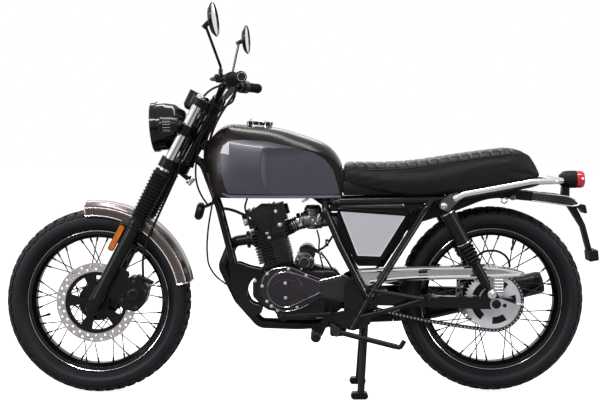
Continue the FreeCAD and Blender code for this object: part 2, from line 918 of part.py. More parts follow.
def reflector_plate(side):
    y = side * (leg_spread + 1)
    plate = side_slab([(-47, 186, 8), (-25, 186, 8), (-25, 284, 8), (-47, 284, 8)], y - 2, y + 2)
    tab = side_slab([(-27, 220), (-19.5, 220), (-19.5, 250), (-27, 250)], y - 2, y + 2)
    return on_fork(fused(plate, tab))


def amber(side):
    y = side * (leg_spread + 3)
    low = min(y, y + side * 6)
    return on_fork(side_slab([(-45, 190, 6), (-27, 190, 6), (-27, 280, 6), (-45, 280, 6)], low, low + 6))


save("fork_sliders", [fused(slider(side), reflector_plate(side)) for side in (-1, 1)])
save("amber_lenses", indicator_lenses + [amber(-1), amber(1)])


def front_caliper():
    """A caliper that straddles the disc behind the left leg."""
    disc_middle = front_disc_low + disc_wall / 2
    slot = disc_wall / 2 + 1.8
    outline = [(62, 44, 12), (96, 30, 14), (140, 44, 16), (150, 84, 18), (140, 130, 16), (104, 150, 14),
               (62, 140, 12)]
    outer_low = -98
    inner_high = -36
    body = side_slab(outline, outer_low, inner_high)
    piston = rod(Vector(104, outer_low - 8, 90), Vector(104, outer_low, 90), 24)
    body = fused(body, piston)
    body = on_fork(body)
    gap = Part.makeCylinder(front_disc_radius + 3, slot * 2,
                            front_axle + Vector(0, disc_middle - slot, 0), right)
    inner_cut = Part.makeCylinder(front_disc_inner + 8, 60, front_axle + Vector(0, -60, 0), right)
    return body.cut([gap, inner_cut])


save("front_caliper", front_caliper())


# Frame
def head_tube():
    low = lower_clamp_high + 0.5
    high = upper_clamp_low - 0.5
    bore = stem_radius + running_gap
    wide = stem_radius + 5
    return on_fork(turned([
        (bore, low), (head_tube_radius + 3, low), (head_tube_radius + 3, low + 12), (head_tube_radius, low + 14),
        (head_tube_radius, high),
        (bore, high), (bore, high - bearing_length), (wide, high - bearing_length),
        (wide, low + bearing_length), (bore, low + bearing_length)], Vector(stem_offset, 0, 0), up))


def frame():
    tube = head_tube()
    hollow = on_fork(rod(Vector(stem_offset, 0, 500), Vector(stem_offset, 0, 800), head_tube_radius - 4))
    rail_z = tank_low - soft_gap - tube_radius
    spine = bent_rod([
        fork_point(stem_offset, 0, 640), Vector(-180, 0, 790), Vector(0, 0, 712), Vector(75, 0, rail_z)], 20, 60)
    bridge = rod(Vector(75, -104, rail_z), Vector(75, 104, rail_z), tube_radius)
    down = bent_rod([
        fork_point(stem_offset, 0, 585), Vector(-345, 0, 790), Vector(-288, 0, 636), Vector(-236, 0, 430)],
        14, 60)
    gusset = side_slab([(-350, 800), (-300, 822), (-250, 805), (-305, 700)], -3, 3)
    middle = tube_radius
    rails = []
    for side in (-1, 1):
        y = side * rail_y
        rails.append(bent_rod([
            Vector(75, side * 60, rail_z), Vector(110, y, rail_z), Vector(339, y, 664.7),
            Vector(499, y, 669.7), Vector(762, side * 100, 718.7), Vector(792, side * 60, 724),
            Vector(792, 0, 724)], middle, 25))
    ya = side_tube_y
    for side in (-1, 1):
        y = side * ya
        rails.append(bent_rod([
            Vector(75, side * 92, rail_z), Vector(78, side * 108, 630), Vector(126, y, 516),
            Vector(218, y, 338)], middle, 30))
        rails.append(bent_rod([
            Vector(437, side * rail_y, 668), Vector(414, y, 642), Vector(323, y, 497), Vector(225, y, 342),
            Vector(168, y, 238)], middle, 20))
    cross = rod(Vector(500, -rail_y, 670), Vector(500, rail_y, 670), middle)
    cross_low = rod(Vector(168, -side_tube_y, 243), Vector(168, side_tube_y, 243), middle)
    body = fused(spine, down, gusset, bridge, cross, cross_low, *rails)
    body = body.cut(hollow)
    shock_studs = []
    for side in (-1, 1):
        top = Vector(shock_top_x, side * rail_y, shock_top_z)
        shock_studs.append(rod(top, top + right * side * (shock_y - rail_y + 14), stud_radius))
        lug = side_slab([(440, 660), (452, 634, 10), (484, 634, 10), (500, 668)],
                        side * rail_y - 8, side * rail_y + 8)
        shock_studs.append(lug)
    plates = []
    for side in (-1, 1):
        low = min(side * plate_inner, side * (plate_inner + plate_wall))
        plates.append(side_slab([
            (140, 392, 10), (162, 402, 10), (196, 392), (250, 360, 12), (252, 312, 14), (214, 262, 10),
            (206, 236, 10), (150, 232, 8), (138, 290, 12)], low, low + plate_wall))
    stand_lugs = []
    for side in (-1, 1):
        low = min(side * 88, side * 94)
        stand_lugs.append(side_slab([
            (150, 256), (150, 232, 8), (206, 236, 12), (stand_x + 20, stand_z - 6, 12),
            (stand_x + 14, stand_z + 18, 12), (stand_x - 12, stand_z + 18, 8), (172, 256)], low, low + 6))
    bolt_holes = [
        rod(Vector(pivot_x, -160, pivot_z), Vector(pivot_x, 160, pivot_z), pivot_bolt_radius + running_gap),
        rod(Vector(stand_x, -160, stand_z), Vector(stand_x, 160, stand_z), 6 + running_gap),
        on_fork(rod(Vector(stem_offset, 0, 500), Vector(stem_offset, 0, 800), stem_radius + running_gap))]
    body = fused(body, tube, *plates, *stand_lugs, *shock_studs)
    return body.cut(bolt_holes)


def engine_plates():
    """The pair of front plates between the down tube and the crankcase."""
    plates = []
    outline = [
        (-256, 446, 8), (-218, 446, 10), (-180, 432), (-140, 424), (-140, 404, 6), (-172, 392, 30),
        (-196, 350, 40), (-176, 306, 30), (-140, 300, 6), (-140, 276, 6), (-168, 262, 12), (-214, 290, 30),
        (-244, 372, 40), (-252, 430)]
    for side in (-1, 1):
        low = side * 30 - 4
        plates.append(side_slab(outline, low, low + 8))
    bolts = rod(Vector(-240, -36, 436), Vector(-240, 36, 436), 6)
    return fused(plates[0], plates[1], bolts)


# Engine
def crankcase():
    body = side_slab([
        (-140, 430, 12), (-172, 380, 20), (-172, 330, 20), (-128, 288, 12), (-100, 286, 8), (-84, 262),
        (96, 262, 20),
        (134, 290, 14), (136, 392, 14), (112, 424, 16), (60, 432), (40, 440, 8), (-20, 444), (-120, 446)],
        -26, 26)
    wide = side_slab([
        (-128, 425, 12), (-150, 380, 20), (-150, 330, 20), (-118, 294, 12), (-96, 290, 8), (-80, 268),
        (76, 268, 6),
        (76, 421, 6), (20, 424)], -case_half, case_half)
    narrow = side_slab([(70, 266), (90, 266, 20), (132, 300, 14), (132, 388, 14), (108, 420, 16), (70, 422)],
                       -70, 70)
    sump = side_slab([(-90, 268), (-80, 254, 6), (40, 254, 6), (52, 268)], -50, 50)
    return fused(body, wide, narrow, sump)


save("crankcase", crankcase())

barrel_way = Vector(-0.2672, 0, 0.9636)
barrel_base = Vector(-78, 0, 428)
barrel_along = Vector(-barrel_way.z, 0, barrel_way.x) * -1


def in_barrel(points, low, high):
    """A plate square to the cylinder, from points (along X, along Y)."""
    corners = [(Vector(p[0], p[1], low), corner_radius(p)) for p in points]
    face = Part.Face(rounded_wire(corners, True))
    slab = face.extrude(Vector(0, 0, high - low))
    return placed(slab, barrel_base, barrel_way)


def fins(outline, first, count):
    """A stack of cooling fins square to the cylinder."""
    return [in_barrel(outline, first + i * fin_pitch, first + i * fin_pitch + fin_wall) for i in range(count)]


def cylinder_barrel():
    core = in_barrel([(-46, -50, 14), (48, -50, 14), (48, 50, 14), (-46, 50, 14)], 4, 98)
    foot = in_barrel([(-52, -58, 10), (50, -58, 10), (50, 58, 10), (-52, 58, 10)], 14, 26)
    tunnel = in_barrel([(-6, -68, 8), (50, -68, 8), (50, -40), (-6, -40)], 20, 100)
    stack = fins([(-64, -66, 18), (54, -66, 14), (54, 66, 14), (-64, 66, 18)], 34, 7)
    return fused(core, foot, tunnel, *stack)


def cylinder_head():
    """The head with its fins, side plate, three-cornered cam cover, rocker ribs and end caps."""
    core = in_barrel([(-50, -56, 14), (56, -56, 14), (56, 56, 14), (-50, 56, 14)], 98, 178)
    stack = fins([(-68, -68, 18), (70, -68, 18), (70, 68, 18), (-68, 68, 18)], 104, 5)
    top = in_barrel([(-64, -54, 20), (70, -54, 20), (70, 54, 20), (-64, 54, 20)], 156, 216)
    ribs = []
    for i in range(6):
        along = -56 + i * 18
        ribs.append(in_barrel([(along, -48, 3), (along + 6, -48, 3), (along + 6, 48, 3), (along, 48, 3)], 210, 223))
    side = side_slab([(-186, 618, 12), (-140, 652, 12), (-66, 650, 8), (-56, 560, 12), (-120, 540, 16),
                      (-176, 590, 14)], -72, -50)
    cover = side_slab([(-173, 609, 6), (-137, 638, 8), (-101, 636, 5), (-109, 560, 5), (-123, 555, 5)], -80, -70)
    inset = side_slab([(-160, 606, 4), (-134, 626, 5), (-110, 625, 4), (-115, 573, 4), (-121, 571, 4)], -82, -78)
    caps = []
    for along, low in ((-64, -80), (64, 82)):
        start = barrel_base + barrel_way * 190 + barrel_along * along
        caps.append(rod(start, start + barrel_along * (low - along), 18))
    oil_bolt = turned([(0, 0), (9, 0), (9, 8, 2), (0, 8)], Vector(-76, -71, 582), left)
    intake = rod(intake_port - intake_way * 14, intake_port + intake_way * port_reach, 26)
    outlet = rod(exhaust_mouth - exhaust_way * 76, exhaust_mouth - exhaust_way * 18, 25)
    return fused(core, top, side, cover, inset, oil_bolt, intake, outlet, *stack, *ribs, *caps)


intake_port = Vector(-60, -12, 562)
intake_neck = Vector(-4, -12, 588)
intake_way = (intake_neck - intake_port).normalize()
port_reach = 24
exhaust_mouth = Vector(-196, 44, 520)
exhaust_way = (exhaust_mouth - Vector(-150, 44, 524)).normalize()
cylinder = fused(cylinder_barrel(), cylinder_head()).cut(crankcase())
save("cylinder", cylinder)


def oval_plate(centre, half_length, half_height, wall):
    """An oval plate on the left of the engine, its face away from it."""
    ring = Part.Wire(Part.Ellipse(Vector(0, 0, 0), half_length, half_height).toShape())
    plate = Part.Face(ring).extrude(up * wall)
    plate.rotate(Vector(0, 0, 0), back, 90)
    plate.translate(centre)
    return plate


def left_cover():
    """The flange, the drop-shaped generator cover with its oval lid, and the sprocket cover."""
    flange = side_slab([
        (-142, 384, 30), (-122, 424, 14), (-96, 437, 10), (-44, 442, 14), (-8, 424, 20), (62, 400, 10),
        (62, 340, 12), (-6, 300, 20), (-60, 290, 40), (-112, 312, 30), (-142, 350, 30)], -103, -case_half)
    dome = turned([(0, -4), (61, -4), (61, 12), (57, 17, 3), (0, 17)], Vector(-58, -103, 368), left)
    beak = side_slab([(-60, 428), (-46, 427.8), (61, 392, 6), (61, 357, 6), (-43, 308.9), (-60, 308)], -118, -101)
    lid = oval_plate(Vector(-56, -119, 367), 48, 34, 5)
    slot = side_slab([(2, 348, 2), (18, 348, 2), (18, 336, 2), (2, 336, 2)], -119, -113)
    tail = side_slab([(56, 342), (150, 322, 10), (158, 350, 12), (154, 408, 14), (140, 416, 12), (56, 396)],
                     -108, -94.5)
    tail_rib = side_slab([(58, 348), (146, 330, 8), (152, 352, 10), (148, 402, 10), (138, 408, 10), (58, 390)],
                         -111, -106)
    return fused(flange, dome, beak, lid, tail, tail_rib).cut(slot)


def right_cover():
    outline = [(-110, 409, 30), (-122, 370, 40), (-110, 330, 30), (-56, 300, 50), (40, 296, 30),
               (104, 320, 20), (108, 400, 20), (60, 424, 30), (-56, 438, 60)]
    base = side_slab(outline, case_half, 116)
    dome = turned([(0, 0), (60, 0), (57, 9, 4), (36, 12, 20), (0, 13)], Vector(30, 116, 360), right)
    return fused(base, dome)


def starter():
    """The starter motor with its stepped end, and its drive case behind."""
    body = turned([
        (0, -70), (20, -70), (20, -66), (27, -64, 3), (33, -60), (34, -56), (34, -36), (31, -34), (31, 60, 4),
        (26, 66), (0, 66)], Vector(6, 0, 453), right)
    case = rod(Vector(14, -44, 482), Vector(14, 30, 482), 29)
    lug = side_slab([(-16, 432), (30, 432), (34, 470), (-6, 470)], -30, 30)
    return fused(body, case, lug)


def carburettor():
    """The ribbed intake stub, its clamp, the carburettor with dome and bowl, and the duct."""
    stub = turned([
        (0, port_reach), (22, port_reach), (25, 27), (25, 31), (21, 33), (25, 35), (25, 39), (21, 41), (25, 43),
        (25, 47), (21, 49), (21, 56), (28, 57), (28, 62), (0, 62)], intake_port, intake_way)
    centre = Vector(34, -12, 594)
    body = turned([
        (0, -42), (24, -42), (24, -34), (30, -32, 2), (30, -10), (26, -8), (26, 10), (31, 12), (31, 30, 2),
        (25, 33), (25, 44), (0, 44)], centre, back)
    bowl = turned([(0, 0), (17, 0), (20, 3), (20, 34), (0, 34)], centre - up * 32, up)
    dome = turned([(0, 0), (27, 0), (27, 30), (30, 32), (30, 38), (22, 50, 6), (0, 50)], centre, up)
    drum = turned([(0, 0), (19, 0), (19, 10), (15, 13), (15, 17), (0, 17)], centre + left * 22, left)
    duct = rod(centre + back * 40, Vector(airbox_front, centre.y, centre.z), 24)
    return fused(stub, body, bowl, dome, drum, duct)


save("engine_covers", [left_cover(), right_cover(), starter().cut([crankcase(), cylinder])])
save("carburettor", carburettor().cut(cylinder))


def airbox():
    body = side_slab([
        (airbox_front, 640, 8), (airbox_front, 560, 10), (150, 482, 12), (300, 482, 14), (338, 540, 20), (352, 604, 10),
        (352, 640, 8)], -98, 98)
    return body


save("airbox", airbox())


# Exhaust
def header():
    return bent_rod([
        exhaust_mouth, Vector(-244, 47, 513), Vector(-281, 55, 425), Vector(-226, 55, 312),
        Vector(-150, 55, 226), Vector(-20, 58, 221), Vector(70, 84, 221), Vector(170, 170, 222),
        Vector(210, 186, 223), Vector(320, 192, 226)], 19, 36)


def exhaust_port():
    """The flange and stub at the head where the pipe starts."""
    return fused(rod(exhaust_mouth - exhaust_way * 18, exhaust_mouth, 21),
                 rod(exhaust_mouth - exhaust_way * 10, exhaust_mouth, 30))


def muffler():
    start = Vector(320.3, 192, 226)
    end = Vector(862, 206, 350)
    way = end - start
    length = way.Length
    shell = turned([
        (0, 0), (20, 0), (24, 30, 10), (38, 110, 30), (41, 150), (41, length - 12, 8), (36, length),
        (24, length), (24, length - 60), (0, length - 60)], start, way)
    return shell


save("exhaust", fused(header(), exhaust_port().cut(cylinder), muffler()))


# Tank, seat and side panels
tank_stations = [
    (-334, 44, 792, 846), (-322, 70, 730, 866), (-300, 92, 660, 889), (-262, 112, 640, 916),
    (-216, 126, 636, 919), (-160, 134, 634, 915), (-110, 137, 634, 911), (-40, 135, 634, 896),
    (31, 128, 634, 873), (87, 115, 634, 846), (115, 106, 634, 818), (134, 96, 634, 782)]
fold = 2.9


def tank_section(x, half_width, low, high):
    centre = (low + high) / 2
    half_height = (high - low) / 2
    points = []
    for step in range(20):
        angle = 2 * math.pi * (step + 0.5) / 20
        c = math.cos(angle)
        s = math.sin(angle)
        y = half_width * math.copysign(abs(c) ** (2 / fold), c)
        z = centre + half_height * math.copysign(abs(s) ** (2 / fold), s)
        points.append(Vector(x, y, z))
    curve = Part.BSplineCurve()
    curve.interpolate(points, True)
    return Part.Wire(curve.toShape())


def tank():
    body = Part.makeLoft([tank_section(*station) for station in tank_stations], True, False)
    below = Part.makeBox(600, 400, 200, Vector(-400, -200, tank_low - 200))
    tunnel = side_slab([(-360, 640), (160, 640), (160, 730, 10), (-160, 826, 10), (-360, 920)], -34, 34)
    knees = []
    for side in (-1, 1):
        plan = plan_slab([
            (-150, side * 200), (-150, side * 142), (-116, side * 124, 20), (31, side * 114, 60),
            (150, side * 82), (150, side * 200)], 600, 900)
        face = side_slab([(-150, 600), (-146, 838, 34), (60, 838, 60), (150, 800), (150, 600)], -200, 200)
        knees.append(plan.common(face))
    return body.cut([below, tunnel] + knees)


def fuel_cap():
    seat_z = 908
    return turned([
        (0, 0), (40, 0), (43, 3), (43, 10), (38, 16, 4), (30, 24, 10), (14, 32, 12), (0, 33)],
        Vector(-149, 0, seat_z), Vector(0.05, 0, 1))


tank_body = tank()
save("fuel_tank", tank_body.cut(turned([(0, -2), (43.3, -2), (43.3, 40), (0, 40)],
                                       Vector(-149, 0, 908), Vector(0.05, 0, 1))))
save("fuel_cap", fuel_cap())

seat_outline = [
    (138, 715, 14), (339, 677, 120), (499, 682, 120), (762, 731, 40), (791, 742, 8), (748, 820, 18),
    (692, 836, 50), (520, 806, 200), (287, 782, 200), (142, 787, 14)]


def seat():
    body = side_slab(seat_outline, -seat_half_width, seat_half_width)
    return body


save("seat", seat())

panel_outline = [(114, 641, 8), (358, 623, 8), (271, 468, 10), (176, 472, 10)]
insert_outline = [(128, 628, 4), (340, 613, 4), (258, 481, 6), (184, 484, 6)]


def side_panel():
    body = side_slab(panel_outline, -side_tube_y - 8, -98.3)
    recess = side_slab(insert_outline, -side_tube_y - 8, -side_tube_y - 5)
    return body.cut(recess)


def side_insert():
    return side_slab(insert_outline, -side_tube_y - 9, -side_tube_y - 5)


save("side_panels", both_sides(side_panel()))
save("side_panel_inserts", both_sides(side_insert()))


# Rear mudguard, tail lamp and plate bracket
def rear_fender():
    w = fender_wall + 0.5
    half = rear_fender_half
    outer = side_slab([
        (352.3, 560), (352.3, 612), (372, 630, 30), (500, 656.4, 120), (640, 705, 200), (900, 676, 60),
        (930, 650, 10), (917, 642), (800, 658), (632, 674, 200), (496, 620, 100), (396, 589, 40)],
        -half, half)
    inner = side_slab([
        (340, 500), (340, 612 - w), (374, 630 - w, 30), (500, 656.4 - w, 120), (640, 705 - w, 200),
        (899, 676 - w, 60), (926, 652 - w), (960, 600), (800, 600), (632, 600), (496, 560)],
        -half + w, half - w)
    return outer.cut(inner)


def tail_lamp():
    centre = Vector(900, 0, 731)
    body = turned([(0, -22), (16, -22, 8), (28, -8, 10), (30, 10), (30, 36), (0, 36)], centre, back)
    stalk = side_slab([(884, 668), (912, 664), (912, 706), (888, 706)], -14, 14)
    return fused(body, stalk)


def tail_lens():
    centre = Vector(900, 0, 731)
    return turned([(0, 36.3), (29, 36.3), (30, 50), (27, 62, 8), (0, 67)], centre, back)


def plate_bracket():
    """The arm that carries the number plate, with its two bolt holes."""
    arm = side_slab([(898, 674), (922, 658), (938, 632), (966, 576, 20), (990, 488), (990, 466), (978, 470),
                     (952, 566, 20), (905, 640)], -14, 14)
    bar = side_slab([(930, 646, 4), (962, 646, 6), (968, 618), (960, 616), (948, 634, 6), (930, 634, 4)], -34, 34)
    box = side_slab([(974, 486, 4), (1006, 492, 4), (1010, 456, 4), (978, 450, 4)], -32, 32)
    return fused(arm, bar, box)


save("rear_fender", fused(rear_fender(), tail_lamp(), plate_bracket()))
save("tail_lens", tail_lens())


def grab_rail():
    y = shock_y + 11
    half = [Vector(500, y, 671), Vector(533, y, 687), Vector(757, y, 729), Vector(862, y - 10, 731)]
    path = [Vector(p.x, -p.y, p.z) for p in half] + [p for p in reversed(half)]
    rail = bent_rod(path, 10, 38)
    lugs = []
    for side in (-1, 1):
        low = min(side * (shock_y + 9.3), side * (shock_y + 13.3))
        lug = side_slab([(454, 662, 6), (452, 640, 10), (482, 630, 10), (522, 672, 6), (514, 694, 6), (486, 688, 6)],
                        low, low + 4)
        lugs.append(lug)
    hole = rod(Vector(shock_top_x, -200, shock_top_z), Vector(shock_top_x, 200, shock_top_z),
               stud_radius + running_gap)
    return fused(rail, *lugs).cut(hole)


# Swingarm and shocks
arm_end = rear_axle_x + 65
arm_plan = [(206, -94), (206, -110, 6), (258, -110, 30), (340, -arm_outer, 30), (arm_end, -arm_outer, 6),
            (arm_end, -arm_outer + arm_width, 6), (340, -arm_outer + arm_width, 30), (258, -94, 30)]


def swingarm():
    arms = []
    x = rear_axle_x
    z = rear_axle.z
    for side in (-1, 1):
        plan = plan_slab([(p[0], -side * p[1], corner_radius(p)) for p in arm_plan], z - 150, z + 150)
        face = side_slab([
            (206, pivot_z - 18, 16), (206, pivot_z + 18, 16), (340, pivot_z + 20, 60), (x - 47, z + 20),
            (x - 33, z + 44, 8), (x - 1, z + 44, 8), (x + 13, z + 20), (x + 65, z + 16, 8), (x + 65, z - 17, 10),
            (x - 43, z - 19), (330, pivot_z - 16, 60)], -200, 200)
        arms.append(plan.common(face))
        stud = Vector(shock_eye_x, side * (arm_outer - 6), shock_eye_z)
        arms.append(rod(stud, stud + right * side * (shock_y - arm_outer + 18), stud_radius))
    pivot = rod(Vector(pivot_x, -98, pivot_z), Vector(pivot_x, 98, pivot_z), pivot_tube_radius)
    brace = side_slab([(262, 318, 6), (262, 346, 6), (296, 346, 8), (296, 318, 8)], -60, 100)
    holes = [
        rod(Vector(pivot_x, -160, pivot_z), Vector(pivot_x, 160, pivot_z), pivot_bolt_radius + running_gap),
        rod(rear_axle + left * 160, rear_axle + right * 160, axle_radius + running_gap)]
    return fused(pivot, brace, *arms).cut(holes)


def shock(side):
    """A shock absorber: damper tube, bare coils between two seats, and a closed upper cover."""
    base = Vector(shock_eye_x, side * shock_y, shock_eye_z)
    top = Vector(shock_top_x, side * shock_y, shock_top_z)
    way = top - base
    length = way.Length
    coils = []
    for i in range(coil_count):
        low = 126 + i * coil_pitch
        coils += [(coil_radius - 6.5, low), (coil_radius, low + coil_pitch * 0.4),
                  (coil_radius, low + coil_pitch * 0.6)]
    body = turned([
        (0, 8), (10, 10), (11, 29), (16.5, 36), (16.5, 112), (23, 116), (23, 124), *coils,
        (coil_radius - 6.5, 192), (25, 194, 3), (25, 304, 3), (8.8, 308), (8.8, length - 8), (0, length - 6)],
        base, way)
    eyes = []
    holes = []
    for spot in (base, top):
        eyes.append(rod(spot + left * 9, spot + right * 9, 15))
        holes.append(rod(spot + left * 20, spot + right * 20, stud_radius + running_gap))
    return fused(body, *eyes).cut(holes)


save("grab_rail", grab_rail())
save("shocks", [shock(-1), shock(1)])


def rear_axle_bar():
    end = arm_outer + 14
    bar = rod(rear_axle + left * end, rear_axle + right * end, axle_radius)
    spacer_left = rod(rear_axle + left * (80.75 + sprocket_wall), rear_axle + left * (arm_outer - arm_width), 13)
    spacer_right = rod(rear_axle + right * (rear_hub_half + soft_gap), rear_axle + right * (arm_outer - arm_width), 13)
    heads = [rod(rear_axle + right * side * (arm_outer + 5), rear_axle + right * side * end, 14)
             for side in (-1, 1)]
    return fused(bar, spacer_left, spacer_right, *heads)


def adjuster(side):
    low = min(side * arm_outer, side * (arm_outer + 4.5))
    z = rear_axle.z
    plate = side_slab([
        (rear_axle_x - 19, z + 17, 15), (rear_axle_x + 16, z + 17, 16), (rear_axle_x + 72, z - 4, 4),
        (rear_axle_x + 72, z - 21, 4), (rear_axle_x - 19, z - 21, 17)],
        low, low + 4.5)
    return plate.cut(rod(rear_axle + left * 160, rear_axle + right * 160, axle_radius + running_gap))


save("rear_axle", fused(rear_axle_bar(), adjuster(-1), adjuster(1)))


def rear_caliper():
    disc_low = rear_carrier_high
    slot = 1.8
    body = side_slab([
        (548, 372, 10), (532, 410, 14), (556, 436, 14), (610, 440, 14), (622, 400, 14), (600, 372, 10)], 46, 101)
    arm = side_slab([(540, 350), (540, 384), (606, 384), (612, 350)], 88, 101)
    gap = Part.makeCylinder(rear_disc_radius + 3, disc_wall + slot * 2,
                            rear_axle + Vector(0, disc_low - slot, 0), right)
    inner_cut = Part.makeCylinder(86, 66, rear_axle, right)
    return fused(body, arm).cut([gap, inner_cut])


swingarm_body = fused(swingarm(), rear_caliper())
save("swingarm", swingarm_body)

rear_hose_route = [
    Vector(600, 92, 428), Vector(606, 93, 452), Vector(636, 95, 474), Vector(684, 98, 476), Vector(722, 102, 452),
    Vector(732, 107, 410), Vector(722, 112, 366), Vector(700, 115, 334)]
save("rear_brake_hose", cable("rear_brake_hose", rear_hose_route, 4).cut(swingarm_body))


def chain_guard():
    outline = [
        (184, 432), (328, 441), (630, 446, 100), (700, 437, 60), (744, 423, 6), (744, 411, 4), (664, 402),
        (328, 396), (262, 384), (215, 378, 10)]
    plate = side_slab(outline, -100.3, -98.3)
    lid_outline = [(184, 432), (328, 441), (630, 446, 100), (700, 437, 60), (744, 423),
                   (744, 421), (700, 435, 58), (630, 444, 98), (328, 439), (184, 430)]
    lid = side_slab(lid_outline, -100.3, -70)
    hanger = side_slab([(638, 404), (676, 404), (672, 344, 4), (642, 344, 4)], -101.9, -98.3)
    return fused(plate, lid, hanger)


save("chain_guard", chain_guard())


# Rider's controls and stands
def foot_peg(side):
    """A peg with its carrier bar from the rear engine plate."""
    y = side * (plate_inner + plate_wall + (8 if side < 0 else 0))
    low = min(y, y + side * 8)
    bar = side_slab([
        (160, 304, 8), (164, 280, 8), (90, 264, 12), (64, 212, 10), (30, 212, 10), (30, 244, 10),
        (58, 256, 10), (84, 288, 12)], low, low + 8)
    peg = rod(Vector(46, y, 227), Vector(46, side * 232, 227), 12)
    pad = turned([(12, 0), (17, 4, 3), (17, 74, 3), (12, 78)], Vector(46, side * 150, 227), right * side)
    return fused(bar, peg, pad)


def gear_lever():
    arm = bent_rod([
        Vector(96, -70.3, 292), Vector(96, -150, 292), Vector(-60, -152, 284)], 6, 10)
    tip = rod(Vector(-60, -148, 284), Vector(-60, -200, 284), 10)
    return fused(arm, tip)


def brake_pedal():
    arm = bent_rod([
        Vector(150, plate_inner + plate_wall, 266), Vector(150, 145, 266), Vector(60, 147, 274),
        Vector(-60, 150, 280)], 6, 10)
    tip = rod(Vector(-60, 140, 280), Vector(-60, 196, 280), 11)
    return fused(arm, tip)


def passenger_peg(side):
    y = side * 148
    face = side * (side_tube_y + tube_radius + 0.1)
    joint = Vector(404, side * 176, 344)
    low_bar = bent_rod([Vector(191, y, 281), Vector(300, side * 154, 309), joint], 8, 30)
    high_bar = bent_rod([Vector(240, y, 366), Vector(320, side * 156, 354), joint], 8, 30)
    foot = [rod(Vector(191, face, 281), Vector(191, y, 281), 7),
            rod(Vector(240, face, 366), Vector(240, y, 366), 7)]
    hinge = rod(Vector(414, side * 160, 346), Vector(414, side * 184, 346), 15)
    peg = rod(Vector(425, side * 184, 346), Vector(425, side * 262, 346), 18)
    return fused(low_bar, high_bar, hinge, peg, *foot)


save("foot_controls", [
    foot_peg(-1), foot_peg(1), gear_lever(), brake_pedal(), passenger_peg(-1), passenger_peg(1)])


def centre_stand():
    """Two splayed legs on one pivot tube, a brace, two feet and a foot lever."""
    pivot = Vector(stand_x, 0, stand_z)
    tube = rod(pivot + left * 86, pivot + right * 86, 14)
    legs = []
    foot_x = stand_x - stand_foot_ahead
    for side in (-1, 1):
        top = Vector(stand_x, side * stand_leg_top_y, stand_z)
        foot = Vector(foot_x, side * stand_foot_y, 14)
        legs.append(rod(top, foot, stand_tube_radius))
        pad = side_slab([
            (foot_x - 34, 10, 5), (foot_x - 26, 0), (foot_x + 16, 0), (foot_x + 26, 8, 5), (foot_x + 20, 22, 6),
            (foot_x - 28, 22, 6)], side * stand_foot_y - 16, side * stand_foot_y + 16)
        legs.append(pad)
    brace_z = stand_z - 72
    brace_x = stand_x - stand_foot_ahead * 72 / stand_z
    brace = rod(Vector(brace_x, -82, brace_z), Vector(brace_x, 82, brace_z), 9)
    lever_bar = bent_rod([
        Vector(stand_x - 2, -82, stand_z), Vector(stand_x - 40, -100, stand_z + 2),
        Vector(stand_x - 110, -100, stand_z + 8), Vector(stand_x - 116, -128, stand_z + 10)], 6, 10)
    hole = rod(pivot + left * 90, pivot + right * 90, 6 + running_gap)
    return fused(tube, brace, *legs).cut(hole)


save("centre_stand", centre_stand())

# The side stand is drawn folded; its hinge is square to both of its positions
folded_way = Vector(0.965, -0.14, -0.22).normalize()
deployed_way = Vector(-0.17, -0.34, -0.925).normalize()
prop_axis = folded_way.cross(deployed_way).normalize()
prop_pivot = Vector(prop_x, prop_y, prop_z)


def side_stand():
    knuckle = rod(prop_pivot - prop_axis * prop_half, prop_pivot + prop_axis * prop_half, 11)
    tip = prop_pivot + folded_way * prop_length
    leg = rod(prop_pivot, tip, 9)
    foot = bent_rod([tip - folded_way * 4, tip + folded_way * 12, tip + folded_way * 26 + up * 26], 8, 8)
    hole = rod(prop_pivot - prop_axis * 30, prop_pivot + prop_axis * 30, 5 + running_gap)
    return fused(knuckle, leg, foot).cut(hole)


def side_stand_bracket():
    """The plate, fork and bolt that the side stand turns on."""
    inner = prop_half + 0.4
    outer = inner + 5
    cheeks = []
    for way in (-1, 1):
        cheeks.append(rod(prop_pivot + prop_axis * (way * inner), prop_pivot + prop_axis * (way * outer), 15))
    bolt = rod(prop_pivot - prop_axis * (outer + 3), prop_pivot + prop_axis * 20, 5)
    bridge_at = prop_pivot - (folded_way + deployed_way).normalize() * 19.5
    bridge = rod(bridge_at - prop_axis * outer, bridge_at + prop_axis * outer, 7)
    neck = rod(prop_pivot + prop_axis * outer, prop_pivot + prop_axis * 21, 13)
    plate = side_slab([
        (92, 268, 6), (92, 212, 10), (134, 212, 10), (150, 240), (176, 262, 6), (176, 290, 6), (140, 290, 8)],
        -plate_inner - plate_wall - 8, -plate_inner - plate_wall)
    return fused(bolt, plate, bridge, neck, *cheeks)


save("side_stand", side_stand())
pins = [
    rod(Vector(pivot_x, -138, pivot_z), Vector(pivot_x, 138, pivot_z), pivot_bolt_radius),
    rod(Vector(stand_x, -97, stand_z), Vector(stand_x, 97, stand_z), 6)]
frame_body = fused(frame(), side_stand_bracket(), engine_plates(), *pins)
save("frame", frame_body)


# Horn, cables
def horn():
    body = turned([(0, -14), (22, -14, 4), (31, -6), (31, 4), (26, 12, 4), (0, 14)],
                  Vector(-356, 0, 622), Vector(-1, 0, 0.25))
    bracket = side_slab([(-345, 628), (-345, 640), (-296, 664), (-292, 652)], -10, 10)
    return fused(body, bracket)


save("horn", horn().cut(frame_body))

